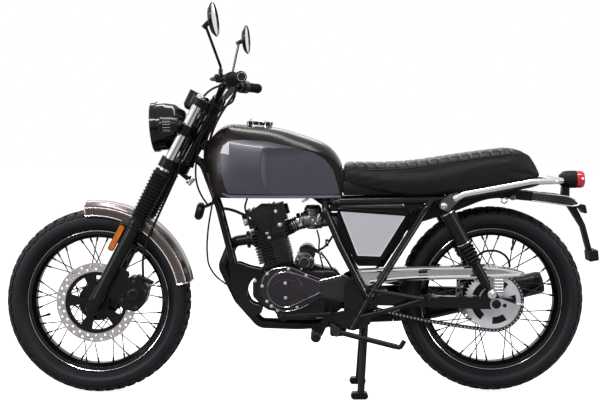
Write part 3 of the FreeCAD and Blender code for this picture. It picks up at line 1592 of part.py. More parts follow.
hose_end = bar_end - grip_way * (perch_back + 48.1) + Vector(-grip_way.y, grip_way.x, 0) * 34
hose_route = [
    fork_point(104, -74, 152), fork_point(74, -78, 205), fork_point(58, -80, 262), fork_point(54, -80, 330),
    fork_point(50, -78, 400), fork_point(47, -82, 465), fork_point(43, -82, 535), fork_point(16, -66, 596),
    fork_point(4, -46, 645), fork_point(2, -10, 676), fork_point(0, 28, 700), fork_point(-14, 50, 740),
    fork_point(-16, 62, 790), fork_point(-6, 92, 824), hose_end - grip_way * 36, hose_end]
save("brake_hose", cable("brake_hose", hose_route, 4))

# The clutch cable ahead of the engine, and the breather hose to the cylinder head
clutch_route = [
    Vector(-306, -6, 690), Vector(-306, -26, 676), Vector(-312, -40, 630), Vector(-322, -46, 570),
    Vector(-327, -48, 500), Vector(-322, -46, 440), Vector(-296, -42, 400), Vector(-262, -38, 374),
    Vector(-243, -28, 366)]
breather_route = [
    Vector(-284, -6, 632), Vector(-262, -18, 631), Vector(-236, -27, 626), Vector(-210, -30, 615),
    Vector(-188, -30, 606)]
save("engine_cables", [
    cable("clutch_cable", clutch_route, 3).cut(frame_body),
    cable("breather", breather_route, 5).cut([frame_body, cylinder])])
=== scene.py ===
# %% [markdown]
# A retro roadster motorcycle, dressed over its solids. The solids arrive first and stay
# where they are: every new piece is made around them, in metres, with the front wheel
# towards -X, the rider's left hand towards -Y and the floor at Z = 0.

# %% Load the solids
import bpy
import bmesh
from math import asin, atan2, ceil, cos, degrees, exp, floor, pi, radians, sin, tan
from mathutils import Matrix, Vector
from mathutils.bvhtree import BVHTree


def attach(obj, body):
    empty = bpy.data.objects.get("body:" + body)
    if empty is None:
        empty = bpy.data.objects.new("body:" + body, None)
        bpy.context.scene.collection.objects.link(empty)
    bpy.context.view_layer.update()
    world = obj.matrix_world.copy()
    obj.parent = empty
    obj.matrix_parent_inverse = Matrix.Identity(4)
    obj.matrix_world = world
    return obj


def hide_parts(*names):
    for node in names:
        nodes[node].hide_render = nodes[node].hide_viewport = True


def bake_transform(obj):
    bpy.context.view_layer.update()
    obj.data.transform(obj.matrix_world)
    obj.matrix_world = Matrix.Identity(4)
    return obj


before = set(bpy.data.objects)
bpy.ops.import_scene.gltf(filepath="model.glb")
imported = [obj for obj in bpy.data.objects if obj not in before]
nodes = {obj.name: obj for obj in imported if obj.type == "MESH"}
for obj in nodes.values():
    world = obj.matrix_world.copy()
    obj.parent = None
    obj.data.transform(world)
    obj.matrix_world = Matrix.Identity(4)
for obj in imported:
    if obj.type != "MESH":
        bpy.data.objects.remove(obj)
bpy.ops.object.select_all(action="DESELECT")
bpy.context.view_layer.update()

# %% [markdown]
# Many pieces hang on the same few places of the bike. They are given once, in millimetres
# as the solids have them, and other pieces are placed from them.

# %% Shared places
mm = 0.001
front_axle, rear_axle = (-702, 0, 315), (643, 0, 323)
tyre_radius = 0.315
rake = radians(27.8)
shock_foot, shock_head = (627, 141, 357), (468, 141, 649)
both = (-1, 1)
leftwards, rightwards = (0, -1, 0), (0, 1, 0)
print("wheelbase", rear_axle[0] - front_axle[0], "mm")

# %% [markdown]
# The camera stands about 3.6 m away on the rider's left, at tank height, and looks very
# slightly down and to the left, as the photograph does. A small shift frames the bike.

# %% Camera
bpy.ops.object.camera_add(location=(0.0821, -3.640, 0.874))
camera = bpy.context.object
camera.rotation_euler = (pi / 2 - 0.0304, 0.0006, 0.0084)
camera.data.sensor_width = 36
camera.data.lens = 63.56
camera.data.shift_x = -0.03
camera.data.shift_y = -0.05
camera.data.dof.use_dof = False
bpy.context.scene.camera = camera
print("lens", camera.data.lens, "mm")

# %% [markdown]
# Skies, floors and finishes are all small node trees. One helper adds a node with its
# values, and another runs the wires.


# %% Node tools
def add_node(tree, kind, **values):
    """A shader node with its inputs set. An underscore in a name stands for a space."""
    node = tree.nodes.new("ShaderNode" + kind)
    for name, value in values.items():
        node.inputs[name.replace("_", " ")].default_value = value
    return node


def wire(tree, *links):
    """Runs wires, each given as a node, its output, a node and its input."""
    for source, output, target, entry in links:
        tree.links.new(source.outputs[output], target.inputs[entry])


# %% [markdown]
# A white studio: the sky is plain white to the camera and to mirror-like metal, and
# gentler where it lights the object, so black paint keeps its depth. Long narrow soft
# lamps draw the long highlights on the tank, the tubes and the tyres.

# %% Studio
world = bpy.data.worlds.new("studio")
bpy.context.scene.world = world
world.use_nodes = True
sky = world.node_tree
sky.nodes.clear()
white = (1, 1, 1, 1)
sky_out = add_node(sky, "OutputWorld")
sky_light = add_node(sky, "Background", Color=white, Strength=0.15)
sky_seen = add_node(sky, "Background", Color=white, Strength=1.0)
sky_mirrored = add_node(sky, "Background", Color=white, Strength=0.85)
mirrored_mix = add_node(sky, "MixShader")
sky_mix = add_node(sky, "MixShader")
ray = add_node(sky, "LightPath")
seen = add_node(sky, "Math")
seen.operation = "MAXIMUM"
wire(sky, (ray, "Is Camera Ray", seen, 0), (ray, "Is Transmission Ray", seen, 1),
     (seen, "Value", sky_mix, "Fac"), (ray, "Is Glossy Ray", mirrored_mix, "Fac"),
     (sky_light, "Background", mirrored_mix, 1), (sky_mirrored, "Background", mirrored_mix, 2),
     (mirrored_mix, "Shader", sky_mix, 1), (sky_seen, "Background", sky_mix, 2),
     (sky_mix, "Shader", sky_out, "Surface"))


def soft_lamp(name, place, aim, size, power):
    """An oblong soft lamp that points at a spot."""
    bpy.ops.object.light_add(type="AREA", location=place)
    lamp = bpy.context.object
    lamp.name = name
    lamp.data.shape = "RECTANGLE"
    lamp.data.size, lamp.data.size_y = size
    lamp.data.energy = power
    lamp.rotation_euler = (Vector(aim) - Vector(place)).to_track_quat("-Z", "Y").to_euler()


soft_lamp("key_lamp", (-1.4, -2.8, 2.7), (0, 0, 0.6), (2.6, 0.22), 84)
soft_lamp("top_lamp", (0.2, 0.2, 3.2), (0, 0, 0.5), (3.6, 0.4), 78)
soft_lamp("front_lamp", (-3.0, -1.9, 1.3), (-0.4, 0, 0.6), (0.2, 1.8), 32)
soft_lamp("side_lamp", (2.8, -2.0, 1.4), (0.3, 0, 0.6), (0.2, 1.8), 28)
soft_lamp("back_lamp", (-0.6, 2.8, 2.4), (0, 0, 0.6), (3.0, 1.0), 34)
bpy.context.scene.view_settings.view_transform = "Standard"
print("studio lit")

# %% [markdown]
# The floor is one large pale sheet. It takes the shadow of the tyres and runs out of
# the picture on all sides, so no edge shows behind the bike.

# %% Floor
bpy.ops.mesh.primitive_plane_add(size=60, location=(0, 0, 0))
ground = bpy.context.object
ground.name = "studio_floor"
floor_paint = bpy.data.materials.new("pale_floor")
floor_paint.use_nodes = True
sheet = floor_paint.node_tree
sheet.nodes.clear()
floor_out = add_node(sheet, "OutputMaterial")
floor_matt = add_node(sheet, "BsdfDiffuse", Color=(0.42, 0.42, 0.42, 1))
floor_shade = add_node(sheet, "BsdfDiffuse", Color=(0.8, 0.8, 0.8, 1))
floor_white = add_node(sheet, "Emission", Strength=0.90)
floor_seen = add_node(sheet, "AddShader")
floor_ray = add_node(sheet, "LightPath")
floor_mix = add_node(sheet, "MixShader")
wire(sheet, (floor_shade, "BSDF", floor_seen, 0), (floor_white, "Emission", floor_seen, 1),
     (floor_ray, "Is Camera Ray", floor_mix, "Fac"), (floor_matt, "BSDF", floor_mix, 1),
     (floor_seen, "Shader", floor_mix, 2), (floor_mix, "Shader", floor_out, "Surface"))
ground.data.materials.append(floor_paint)
bpy.ops.object.select_all(action="DESELECT")
print("stage ready")

# %% [markdown]
# Every finish is built by the same few steps, because real paint, rubber and metal share
# them: a colour that wanders a little, a gloss that wanders a little, and a fine grain
# that bends the light. Cast and moulded parts also get softly rounded edges in the light.
# One function takes these amounts and wires them up.


# %% Finish maker
def finish(name, colour, rough, metal=0.0, spread=0.12, patch=9.0, rough_spread=0.06,
           grain=0.0, grain_size=600.0, coat=0.0, gloss=0.5, edge=0.0):
    """A material with cloudy colour, cloudy gloss and a fine bump, on object coordinates."""
    material = bpy.data.materials.new(name)
    material.use_nodes = True
    tree = material.node_tree
    shader = tree.nodes["Principled BSDF"]
    for entry, value in (("Metallic", metal), ("Specular IOR Level", gloss),
                         ("Coat Weight", coat), ("Coat Roughness", 0.06)):
        shader.inputs[entry].default_value = value
    place = add_node(tree, "TexCoord")
    clouds = add_node(tree, "TexNoise", Scale=patch, Detail=6)
    tint = add_node(tree, "ValToRGB")
    dark, light = tint.color_ramp.elements
    dark.position, light.position = 0.3, 0.7
    dark.color = (*[c * (1 - spread) for c in colour], 1)
    light.color = (*[min(1, c * (1 + spread)) for c in colour], 1)
    polish = add_node(tree, "MapRange", To_Min=max(0.02, rough - rough_spread),
                      To_Max=rough + rough_spread)
    wire(tree, (place, "Object", clouds, "Vector"), (clouds, "Fac", tint, "Fac"),
         (tint, "Color", shader, "Base Color"), (clouds, "Fac", polish, "Value"),
         (polish, "Result", shader, "Roughness"))
    if edge:
        rounding = add_node(tree, "Bevel", Radius=edge)
        wire(tree, (rounding, "Normal", shader, "Normal"))
    if grain:
        speck = add_node(tree, "TexNoise", Scale=grain_size, Detail=3)
        bump = add_node(tree, "Bump", Strength=grain, Distance=0.0006)
        wire(tree, (place, "Object", speck, "Vector"), (speck, "Fac", bump, "Height"),
             (bump, "Normal", shader, "Normal"))
        if edge:
            wire(tree, (rounding, "Normal", bump, "Normal"))
    return material


# %% Finishes of the bike
finishes = {
    "tyre_rubber": ((0.008, 0.008, 0.011), 0.48, dict(spread=0.25, patch=14, grain=0.5, gloss=0.22)),
    "gloss_black": ((0.004, 0.004, 0.0045), 0.12,
                    dict(patch=5, rough_spread=0.03, coat=0.1, gloss=0.24, edge=0.001)),
    "satin_black": ((0.005, 0.005, 0.0055), 0.30, dict(grain=0.25, grain_size=900, gloss=0.2, edge=0.0015)),
    "cast_black": ((0.006, 0.005, 0.006), 0.30, dict(grain=0.4, grain_size=500, gloss=0.3, edge=0.0022)),
    # the purple tint and lighter base are partly the covers' own colour and partly painted sheen
    "cover_black": ((0.015, 0.011, 0.016), 0.22,
                    dict(spread=0.3, grain=0.1, grain_size=700, gloss=0.45, edge=0.0026)),
    "moulded_black": ((0.005, 0.005, 0.0055), 0.42, dict(grain=0.4, grain_size=700, gloss=0.16, edge=0.0015)),
    "soft_rubber": ((0.005, 0.005, 0.005), 0.56, dict(grain=0.4, grain_size=400, gloss=0.14)),
    "chrome": ((0.82, 0.81, 0.81), 0.07, dict(metal=1.0, spread=0.04, rough_spread=0.03)),
    "hard_chrome": ((0.74, 0.73, 0.75), 0.10, dict(metal=1.0, spread=0.05, rough_spread=0.03)),
    "dark_chrome": ((0.42, 0.41, 0.43), 0.12, dict(metal=1.0, spread=0.06)),
    "smoky_chrome": ((0.13, 0.125, 0.13), 0.16, dict(metal=1.0, spread=0.4, patch=12)),
    "ground_steel": ((0.56, 0.52, 0.52), 0.34, dict(metal=1.0, patch=60, grain=0.4)),
    "zinc_steel": ((0.66, 0.66, 0.70), 0.28, dict(metal=1.0, spread=0.06, grain=0.2)),
    "dark_steel": ((0.060, 0.055, 0.055), 0.30, dict(metal=1.0, spread=0.2)),
    "pale_steel": ((0.70, 0.69, 0.74), 0.30, dict(metal=0.35, spread=0.05, patch=30, grain=0.2)),
    "cast_metal": ((0.15, 0.15, 0.16), 0.34, dict(metal=0.9, spread=0.2, patch=40, grain=0.5)),
    "silver_paint": ((0.16, 0.135, 0.13), 0.22, dict(metal=0.9, spread=0.06, patch=900, coat=0.3)),
    "lilac_silver": ((0.60, 0.58, 0.63), 0.34, dict(metal=0.55, spread=0.05, patch=900, coat=0.4)),
    "tank_black": ((0.008, 0.005, 0.005), 0.26, dict(patch=4, rough_spread=0.02, gloss=0.26)),
    "slate_paint": ((0.046, 0.046, 0.062), 0.36, dict(metal=0.2, spread=0.05, patch=500, coat=0.2)),
    "pale_paint": ((0.52, 0.49, 0.54), 0.35, dict(spread=0.04, patch=40)),
    # paler than the slate partly for the lip's own paint and partly as painted highlight on its upturned face
    "lip_paint_and_highlight": ((0.17, 0.16, 0.20), 0.30, dict(metal=0.3, spread=0.06, patch=60)),
    "amber_lens": ((0.50, 0.13, 0.015), 0.18,
                   dict(spread=0.25, patch=60, grain=0.3, grain_size=300, coat=0.5)),
    "red_lens": ((0.55, 0.01, 0.015), 0.14, dict(spread=0.1, coat=0.5)),
    "black_vinyl": ((0.008, 0.007, 0.008), 0.42,
                    dict(spread=0.18, patch=20, grain=0.6, grain_size=900, gloss=0.16)),
    "ribbed_vinyl": ((0.011, 0.0075, 0.0075), 0.42,
                     dict(spread=0.16, patch=30, grain=0.5, grain_size=900, gloss=0.16)),
    "exhaust_black": ((0.007, 0.006, 0.006), 0.30, dict(spread=0.2, patch=6, grain=0.15, gloss=0.22)),
}
looks = {name: finish(name, colour, rough, **more) for name, (colour, rough, more) in finishes.items()}

looks["clear_glass"] = bpy.data.materials.new("clear_glass")
looks["clear_glass"].use_nodes = True
glass = looks["clear_glass"].node_tree.nodes["Principled BSDF"].inputs
glass["Base Color"].default_value = (0.95, 0.97, 1.0, 1)
glass["Roughness"].default_value = 0.03
glass["Transmission Weight"].default_value = 0.92
glass["IOR"].default_value = 1.45
print("finishes", len(looks))

# %% [markdown]
# The solids that already have their final shape only need the right finish. A table lists
# the solids of each finish, and the pieces made later take theirs by the same names.

# %% Finishes on the solids
solids_of = {
    "tyre_rubber": "front_tyre rear_tyre",
    "gloss_black": "front_rim rear_rim front_spokes rear_spokes handlebar mirrors headlamp_shell frame"
                   " swingarm side_panels",
    "satin_black": "front_hub rear_hub fork_sliders steering_stem upper_clamp front_axle control_levers"
                   " headlamp_ears front_caliper shocks foot_controls horn centre_stand side_stand",
    "cast_black": "crankcase cylinder",
    "cover_black": "engine_covers",
    "moulded_black": "bar_controls gauge airbox rear_fender",
    "soft_rubber": "fork_gaiters grips brake_hose rear_brake_hose engine_cables",
    "chrome": "chain_guard grab_rail fuel_cap",
    "hard_chrome": "fork_stanchions",
    "dark_chrome": "headlamp_bezel",
    "ground_steel": "front_disc rear_disc",
    "zinc_steel": "rear_axle",
    "dark_steel": "chain",
    "pale_steel": "rear_sprocket",
    "cast_metal": "carburettor",
    "silver_paint": "front_fender",
    "lilac_silver": "side_panel_inserts",
    "tank_black": "fuel_tank",
    "amber_lens": "amber_lenses",
    "red_lens": "tail_lens",
    "clear_glass": "front_glasses",
    "black_vinyl": "seat",
    "exhaust_black": "exhaust",
}
finished = 0
for look, names in solids_of.items():
    for name in names.split():
        nodes[name].data.materials.clear()
        nodes[name].data.materials.append(looks[look])
        finished += 1
print("solids finished", finished)

# %% [markdown]
# New pieces are drawn as by hand: a line is pulled out point by point, spun or extruded,
# and then named, finished and given to the body that carries it. These few helpers keep
# every piece's place in its mesh, as the solids have it.


# %% Selecting and claiming
def clear():
    """Leaves edit mode and deselects everything."""
    if bpy.context.object and bpy.context.object.mode != "OBJECT":
        bpy.ops.object.mode_set(mode="OBJECT")
    bpy.ops.object.select_all(action="DESELECT")


def pick(piece):
    """Makes a piece the only one selected, and the active one."""
    clear()
    piece.select_set(True)
    bpy.context.view_layer.objects.active = piece
    return piece


def edit_all():
    """Enters edit mode with the whole mesh selected."""
    bpy.ops.object.mode_set(mode="EDIT")
    bpy.ops.mesh.select_all(action="SELECT")


def leave_edit():
    bpy.ops.object.mode_set(mode="OBJECT")


def at_rest(piece):
    """Bakes a piece's place into its mesh, so that it sits at the origin, unturned."""
    pick(piece)
    bpy.ops.object.transform_apply(location=True, rotation=True, scale=True)
    return piece


def joined(pieces):
    clear()
    for piece in pieces:
        piece.select_set(True)
    bpy.context.view_layer.objects.active = pieces[0]
    if len(pieces) > 1:
        bpy.ops.object.join()
    return bpy.context.view_layer.objects.active


def copied(piece):
    """A copy with its own mesh."""
    copy = piece.copy()
    copy.data = piece.data.copy()
    bpy.context.collection.objects.link(copy)
    return copy


def claim(piece, name, look, body="chassis", angle=35):
    """Joins the pieces of a list, names the result, and gives it its finish and body."""
    piece = at_rest(joined(piece) if isinstance(piece, list) else piece)
    piece.name = name
    piece.data.name = name
    bpy.ops.object.shade_smooth_by_angle(angle=radians(angle))
    piece.data.materials.clear()
    piece.data.materials.append(looks[look])
    if body:
        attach(piece, body)
    clear()
    return piece


# %% Places
def placed(x, y, z):
    """A place given in millimetres."""
    return Vector((x, y, z)) * mm


def route(*spots):
    """The places of a cord, given in millimetres."""
    return [placed(*spot) for spot in spots]


def side_route(across, *spots):
    """The places of a cord that stays at one distance from the middle, as (x, z) points."""
    return [placed(x, across, z) for x, z in spots]


def circle_spot(radius, angle, across=0.0):
    """A step from the centre of a circle in side view to its rim."""
    return Vector((radius * cos(angle), across, radius * sin(angle)))


def fork_place(behind, across, along):
    """A place measured from the front axle: behind the legs, across the bike, up the legs."""
    up = Vector((sin(rake), 0, cos(rake)))
    back = Vector((cos(rake), 0, -sin(rake)))
    return placed(front_axle[0], across, front_axle[2]) + (back * behind + up * along) * mm


def facing(place, axis, spin=0.0):
    """The matrix that stands a piece modelled along Z at a place, along an axis."""
    turn = Vector(axis).to_track_quat("Z", "Y").to_matrix().to_4x4()
    return Matrix.Translation(place) @ turn @ Matrix.Rotation(spin, 4, "Z")


# %% Drawing tools
def drawn_line(points):
    """Edges pulled out point by point from a single vertex. Edit mode stays on."""
    clear()
    bpy.ops.mesh.primitive_plane_add(size=0.01, location=points[0])
    bpy.ops.object.mode_set(mode="EDIT")
    bpy.ops.mesh.merge(type="CENTER")
    for before, after in zip(points, points[1:]):
        step = Vector(after) - Vector(before)
        bpy.ops.mesh.extrude_region_move(TRANSFORM_OT_translate={"value": step})
    bpy.ops.mesh.select_all(action="SELECT")
    return bpy.context.object


def tidy_mesh():
    """Welds doubles and turns all faces outwards."""
    bpy.ops.mesh.select_all(action="SELECT")
    bpy.ops.mesh.remove_doubles(threshold=0.00001)
    bpy.ops.mesh.normals_make_consistent(inside=False)


def face_outwards():
    edit_all()
    bpy.ops.mesh.normals_make_consistent(inside=False)
    leave_edit()


def turned(profile, base, axis, steps=32):
    """A turned piece from (radius, height) points, standing at a place along an axis."""
    base = Vector(base)
    axis = Vector(axis).normalized()
    side = axis.orthogonal().normalized()
    piece = drawn_line([base + side * radius + axis * height for radius, height in profile])
    bpy.ops.mesh.spin(steps=steps, angle=2 * pi, center=base, axis=axis)
    tidy_mesh()
    leave_edit()
    return piece


def slab(outline, low, high, bevel=0.0):
    """A plate drawn in side view from (x, z) points, between two distances from the middle."""
    piece = drawn_line([(x, low, z) for x, z in outline])
    bpy.ops.mesh.edge_face_add()
    bpy.ops.mesh.extrude_region_move(TRANSFORM_OT_translate={"value": (0, high - low, 0)})
    tidy_mesh()
    if bevel:
        bpy.ops.mesh.bevel(offset=bevel, segments=2, affect="EDGES", clamp_overlap=True)
    leave_edit()
    return piece


def softened(piece, width):
    """Rounds all the edges of a simple piece a little."""
    if width:
        pick(piece)
        edit_all()
        bpy.ops.mesh.bevel(offset=width, segments=2, affect="EDGES", clamp_overlap=True)
        leave_edit()
    return piece


def rod(start, end, radius, sides=20, edge=0.0):
    """A round bar between two places."""
    way = end - start
    clear()
    bpy.ops.mesh.primitive_cylinder_add(vertices=sides, radius=radius, depth=way.length,
                                        location=(start + end) / 2,
                                        rotation=way.to_track_quat("Z", "Y").to_euler())
    return softened(at_rest(bpy.context.object), edge)


def brick(centre, size, edge=0.0, lean=0.0):
    """A box with rounded edges, leaning in side view by an angle in degrees."""
    clear()
    bpy.ops.mesh.primitive_cube_add(size=1, location=centre, rotation=(0, radians(lean), 0),
                                    scale=size)
    return softened(at_rest(bpy.context.object), edge)


def hoop(centre, rotation, radius, thickness, around, across):
    """A round ring."""
    clear()
    bpy.ops.mesh.primitive_torus_add(major_radius=radius, minor_radius=thickness,
                                     major_segments=around, minor_segments=across,
                                     location=centre, rotation=rotation)
    return at_rest(bpy.context.object)


def cord(points, radius, sides=3, closed=False):
    """A round cord that follows points smoothly, drawn as a curve and then made a mesh."""
    while len(points) < 5:
        halfway = [(before + after) / 2 for before, after in zip(points, points[1:])]
        points = [place for pair in zip(points, halfway) for place in pair] + [points[-1]]
    clear()
    bpy.ops.curve.primitive_nurbs_path_add(location=(0, 0, 0))
    line = bpy.context.object
    spline = line.data.splines[0]
    spline.points.add(len(points) - len(spline.points))
    for knot, place in zip(spline.points, points):
        knot.co = (*place, 1)
    spline.order_u = 3
    spline.use_endpoint_u = not closed
    spline.use_cyclic_u = closed
    line.data.resolution_u = 4
    line.data.bevel_depth = radius
    line.data.bevel_resolution = sides
    line.data.use_fill_caps = not closed
    bpy.ops.object.convert(target="MESH")
    bpy.ops.object.mode_set(mode="EDIT")
    tidy_mesh()
    leave_edit()
    return bpy.context.object


# %% Copying tools
def stamped(pattern, placements):
    """Copies one piece to many places, each with its own mesh, and joins them."""
    copies = [copied(pattern) for placement in placements]
    for copy, placement in zip(copies, placements):
        copy.data.transform(placement)
    bpy.data.objects.remove(pattern)
    return joined(copies)


def screwed(name, spots, radius, height, look, body="chassis"):
    """The same bolt, a hexagon head on its round collar, at many spots on the left side."""
    collar = rod(Vector((0, 0, 0)), Vector((0, 0, height * 0.3)), radius * 1.22, 20)
    head = rod(Vector((0, 0, height * 0.2)), Vector((0, 0, height)), radius, 6, radius * 0.12)
    bolt = joined([collar, head])
    places = [facing(placed(*spot), leftwards, 0.3 * i) for i, spot in enumerate(spots)]
    return claim(stamped(bolt, places), name, look, body)


def apply_modifiers(piece):
    pick(piece)
    for modifier in list(piece.modifiers):
        bpy.ops.object.modifier_apply(modifier=modifier.name)


def surface_of(piece):
    """The surface of a mesh, for finding where a straight line meets it."""
    return BVHTree.FromPolygons([v.co for v in piece.data.vertices],
                                [list(p.vertices) for p in piece.data.polygons])


print("drawing tools ready")

# %% [markdown]
# The seat is foam under a stitched vinyl cover: a smooth dark side, a line of piping, and a
# browner top of crossways ribs. It could be one plain block, but foam pushes its cover out
# between the seams. So a slightly slim body is drawn ring by ring, cloth pressure fills it,
# and the ribs are pressed in afterwards, because remeshing would wipe them out.

# %% Seat shape
seat_rows = [  # distance back, underside, piping, crest and half width
    (0.140, 0.729, 0.764, 0.777, 0.098), (0.146, 0.719, 0.767, 0.784, 0.105),
    (0.180, 0.711, 0.768, 0.785, 0.110), (0.268, 0.694, 0.766, 0.784, 0.119),
    (0.339, 0.683, 0.770, 0.787, 0.125), (0.410, 0.681, 0.779, 0.794, 0.129),
    (0.506, 0.685, 0.794, 0.809, 0.130), (0.568, 0.695, 0.804, 0.818, 0.130),
    (0.640, 0.708, 0.812, 0.827, 0.129), (0.690, 0.717, 0.817, 0.833, 0.127),
    (0.733, 0.725, 0.819, 0.830, 0.124), (0.757, 0.730, 0.806, 0.817, 0.121),
    (0.776, 0.735, 0.778, 0.786, 0.117), (0.789, 0.740, 0.752, 0.758, 0.112)]


def across_rows(rows, x):
    """The values of a table of stations at any distance back, blended between its rows."""
    if x <= rows[0][0]:
        return rows[0][1:]
    for before, after in zip(rows, rows[1:]):
        if x <= after[0]:
            share = (x - before[0]) / (after[0] - before[0])
            return [a + (b - a) * share for a, b in zip(before[1:], after[1:])]
    return rows[-1][1:]


def seat_ring(row):
    """One section of the seat: flat below, upright sides, a crowned top."""
    x, low, pipe, crest, half = row
    rise = crest - pipe
    right_side = [
        (0.40, low), (0.80, low), (0.94, low + 0.003), (0.985, low + 0.012), (1.0, (low + pipe) / 2),
        (0.995, pipe - 0.006), (0.975, pipe + 0.002), (0.93, crest - rise * 0.35),
        (0.84, crest - rise * 0.08), (0.55, crest), (0.20, crest + 0.001)]
    ring = [(x, half * share, z) for share, z in right_side]
    return ring + [(x, -y, z) for x, y, z in reversed(ring)]


def lofted(highlight_rings):
    """A closed skin: a circle is laid on the first ring, then extruded from ring to ring."""
    clear()
    bpy.ops.mesh.primitive_circle_add(vertices=len(highlight_rings[0]), fill_type="NGON", radius=0.01)
    piece = bpy.context.object
    bpy.ops.object.mode_set(mode="EDIT")
    mesh = bmesh.from_edit_mesh(piece.data)
    mesh.verts.ensure_lookup_table()
    for vertex, place in zip(mesh.verts, highlight_rings[0]):
        vertex.co = place
    for before, after in zip(highlight_rings, highlight_rings[1:]):
        bpy.ops.mesh.extrude_region_move()
        mesh = bmesh.from_edit_mesh(piece.data)
        for vertex in [v for v in mesh.verts if v.select]:
            nearest = min(range(len(before)), key=lambda i: (Vector(before[i]) - vertex.co).length_squared)
            vertex.co = after[nearest]
    bmesh.update_edit_mesh(piece.data)
    tidy_mesh()
    leave_edit()
    return piece


seat = lofted([seat_ring(row) for row in seat_rows])
print("seat rings", len(seat_rows), "faces", len(seat.data.polygons))

# %% Seat foam
foam_grain, held_height, most_swell, settle_frames = 0.0056, 0.008, 0.005, 14
seat.data.remesh_voxel_size = foam_grain
pick(seat)
bpy.ops.object.voxel_remesh()
slim = [v.co.copy() for v in seat.data.vertices]
held = seat.vertex_groups.new(name="base")
held.add([v.index for v in seat.data.vertices
          if v.co.z < across_rows(seat_rows, v.co.x)[0] + held_height], 1.0, "ADD")
foam = seat.modifiers.new("foam", "CLOTH")
foam.settings.vertex_group_mass = "base"
foam.settings.use_pressure = True
foam.settings.uniform_pressure_force = 4
foam.settings.effector_weights.gravity = 0
for frame_number in range(1, settle_frames + 1):
    bpy.context.scene.frame_set(frame_number)
bpy.ops.object.modifier_apply(modifier="foam")
for vertex, start in zip(seat.data.vertices, slim):
    push = vertex.co - start
    vertex.co = start + push * min(1, most_swell / max(push.length, 0.000001))
bpy.context.scene.frame_set(1)
seat.modifiers.new("smooth", "SUBSURF").levels = 1
seat.modifiers["smooth"].render_levels = 1
apply_modifiers(seat)
print("seat faces after its foam", len(seat.data.polygons))

# %% Ribs and cover
first_rib, rib_step, rib_count = 0.1784, 0.0345, 16
rib_rise, seam_depth, seam_width = 0.0014, 0.0052, 0.0034
rear_of_ribs = 0.765
outward = [vertex.normal.copy() for vertex in seat.data.vertices]
for vertex, normal in zip(seat.data.vertices, outward):
    pipe = across_rows(seat_rows, vertex.co.x)[1]
    over = min(1, max(0, (vertex.co.z - pipe + 0.001) / 0.004))
    number = round((vertex.co.x - first_rib) / rib_step)
    off = vertex.co.x - first_rib - max(0, min(rib_count - 1, number)) * rib_step
    ribbed = first_rib - rib_step < vertex.co.x < first_rib + rib_step * rib_count
    dip = seam_depth * exp(-(off / seam_width) ** 2)
    vertex.co += normal * over * ((rib_rise if ribbed else 0) - dip)
claim(seat, "seat_cushion", "black_vinyl", angle=60)
seat.data.materials.append(looks["ribbed_vinyl"])
for face in seat.data.polygons:
    pipe = across_rows(seat_rows, face.center.x)[1]
    face.material_index = 1 if face.center.z > pipe and face.center.x < rear_of_ribs else 0
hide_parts("seat")
print("ribs", rib_count, "every", rib_step * 1000, "mm")

# %% Piping
cover = surface_of(seat)
stitch, stitches = 0.0305, 20
left_run = [(0.150 + stitch * i, -1) for i in range(stitches)]
right_run = [(0.7295 - stitch * i, 1) for i in range(stitches)]
seam = []
for x, side in left_run + right_run:
    z = across_rows(seat_rows, x)[1]
    seam.append(cover.ray_cast(Vector((x, side * 0.3, z)), Vector((0, -side, 0)))[0])
claim(cord(seam, 0.0026, closed=True), "seat_piping", "moulded_black", angle=60)
print("piping points", len(seam))

# %% [markdown]
# The tank's side panels are painted slate over its black body, with a knee hollow whose
# edge is a soft roll. Painting faces of the solid would give a jagged edge, so each panel
# is a thin skin: a grid is dropped on to the tank's side, softened where the hollow starts,
# thickened, and trimmed to the panel's outline.

# %% Tank side skin
tank_copy = copied(nodes["fuel_tank"])
tank_copy.parent = None
pick(tank_copy)
edit_all()
bpy.ops.mesh.remove_doubles(threshold=0.000001)
leave_edit()
tank_side = surface_of(tank_copy)
bpy.data.objects.remove(tank_copy)
panel_outline = [
    (-0.2737, 0.806), (-0.2724, 0.828), (-0.2640, 0.848), (-0.2480, 0.8605), (-0.2338, 0.8648),
    (-0.1959, 0.8671), (-0.1161, 0.8615), (-0.0526, 0.8472), (0.0016, 0.8345), (0.0428, 0.8219),
    (0.0777, 0.7996), (0.1033, 0.7647), (0.1190, 0.7130), (0.1250, 0.6860), (0.1063, 0.6838),
    (-0.2400, 0.6866), (-0.2500, 0.6900), (-0.2594, 0.7105), (-0.2704, 0.7584)]
lip_outline = [
    (-0.268, 0.690), (-0.250, 0.6842), (-0.238, 0.6825), (0.128, 0.6815), (0.129, 0.6735),
    (-0.238, 0.6735), (-0.256, 0.679), (-0.270, 0.686)]
patch_outline = [(-0.2737, 0.8235)] + panel_outline[1:4] + [(-0.2440, 0.8620), (-0.2440, 0.8180)]
grid_step, tank_bottom = 0.004, 0.6726


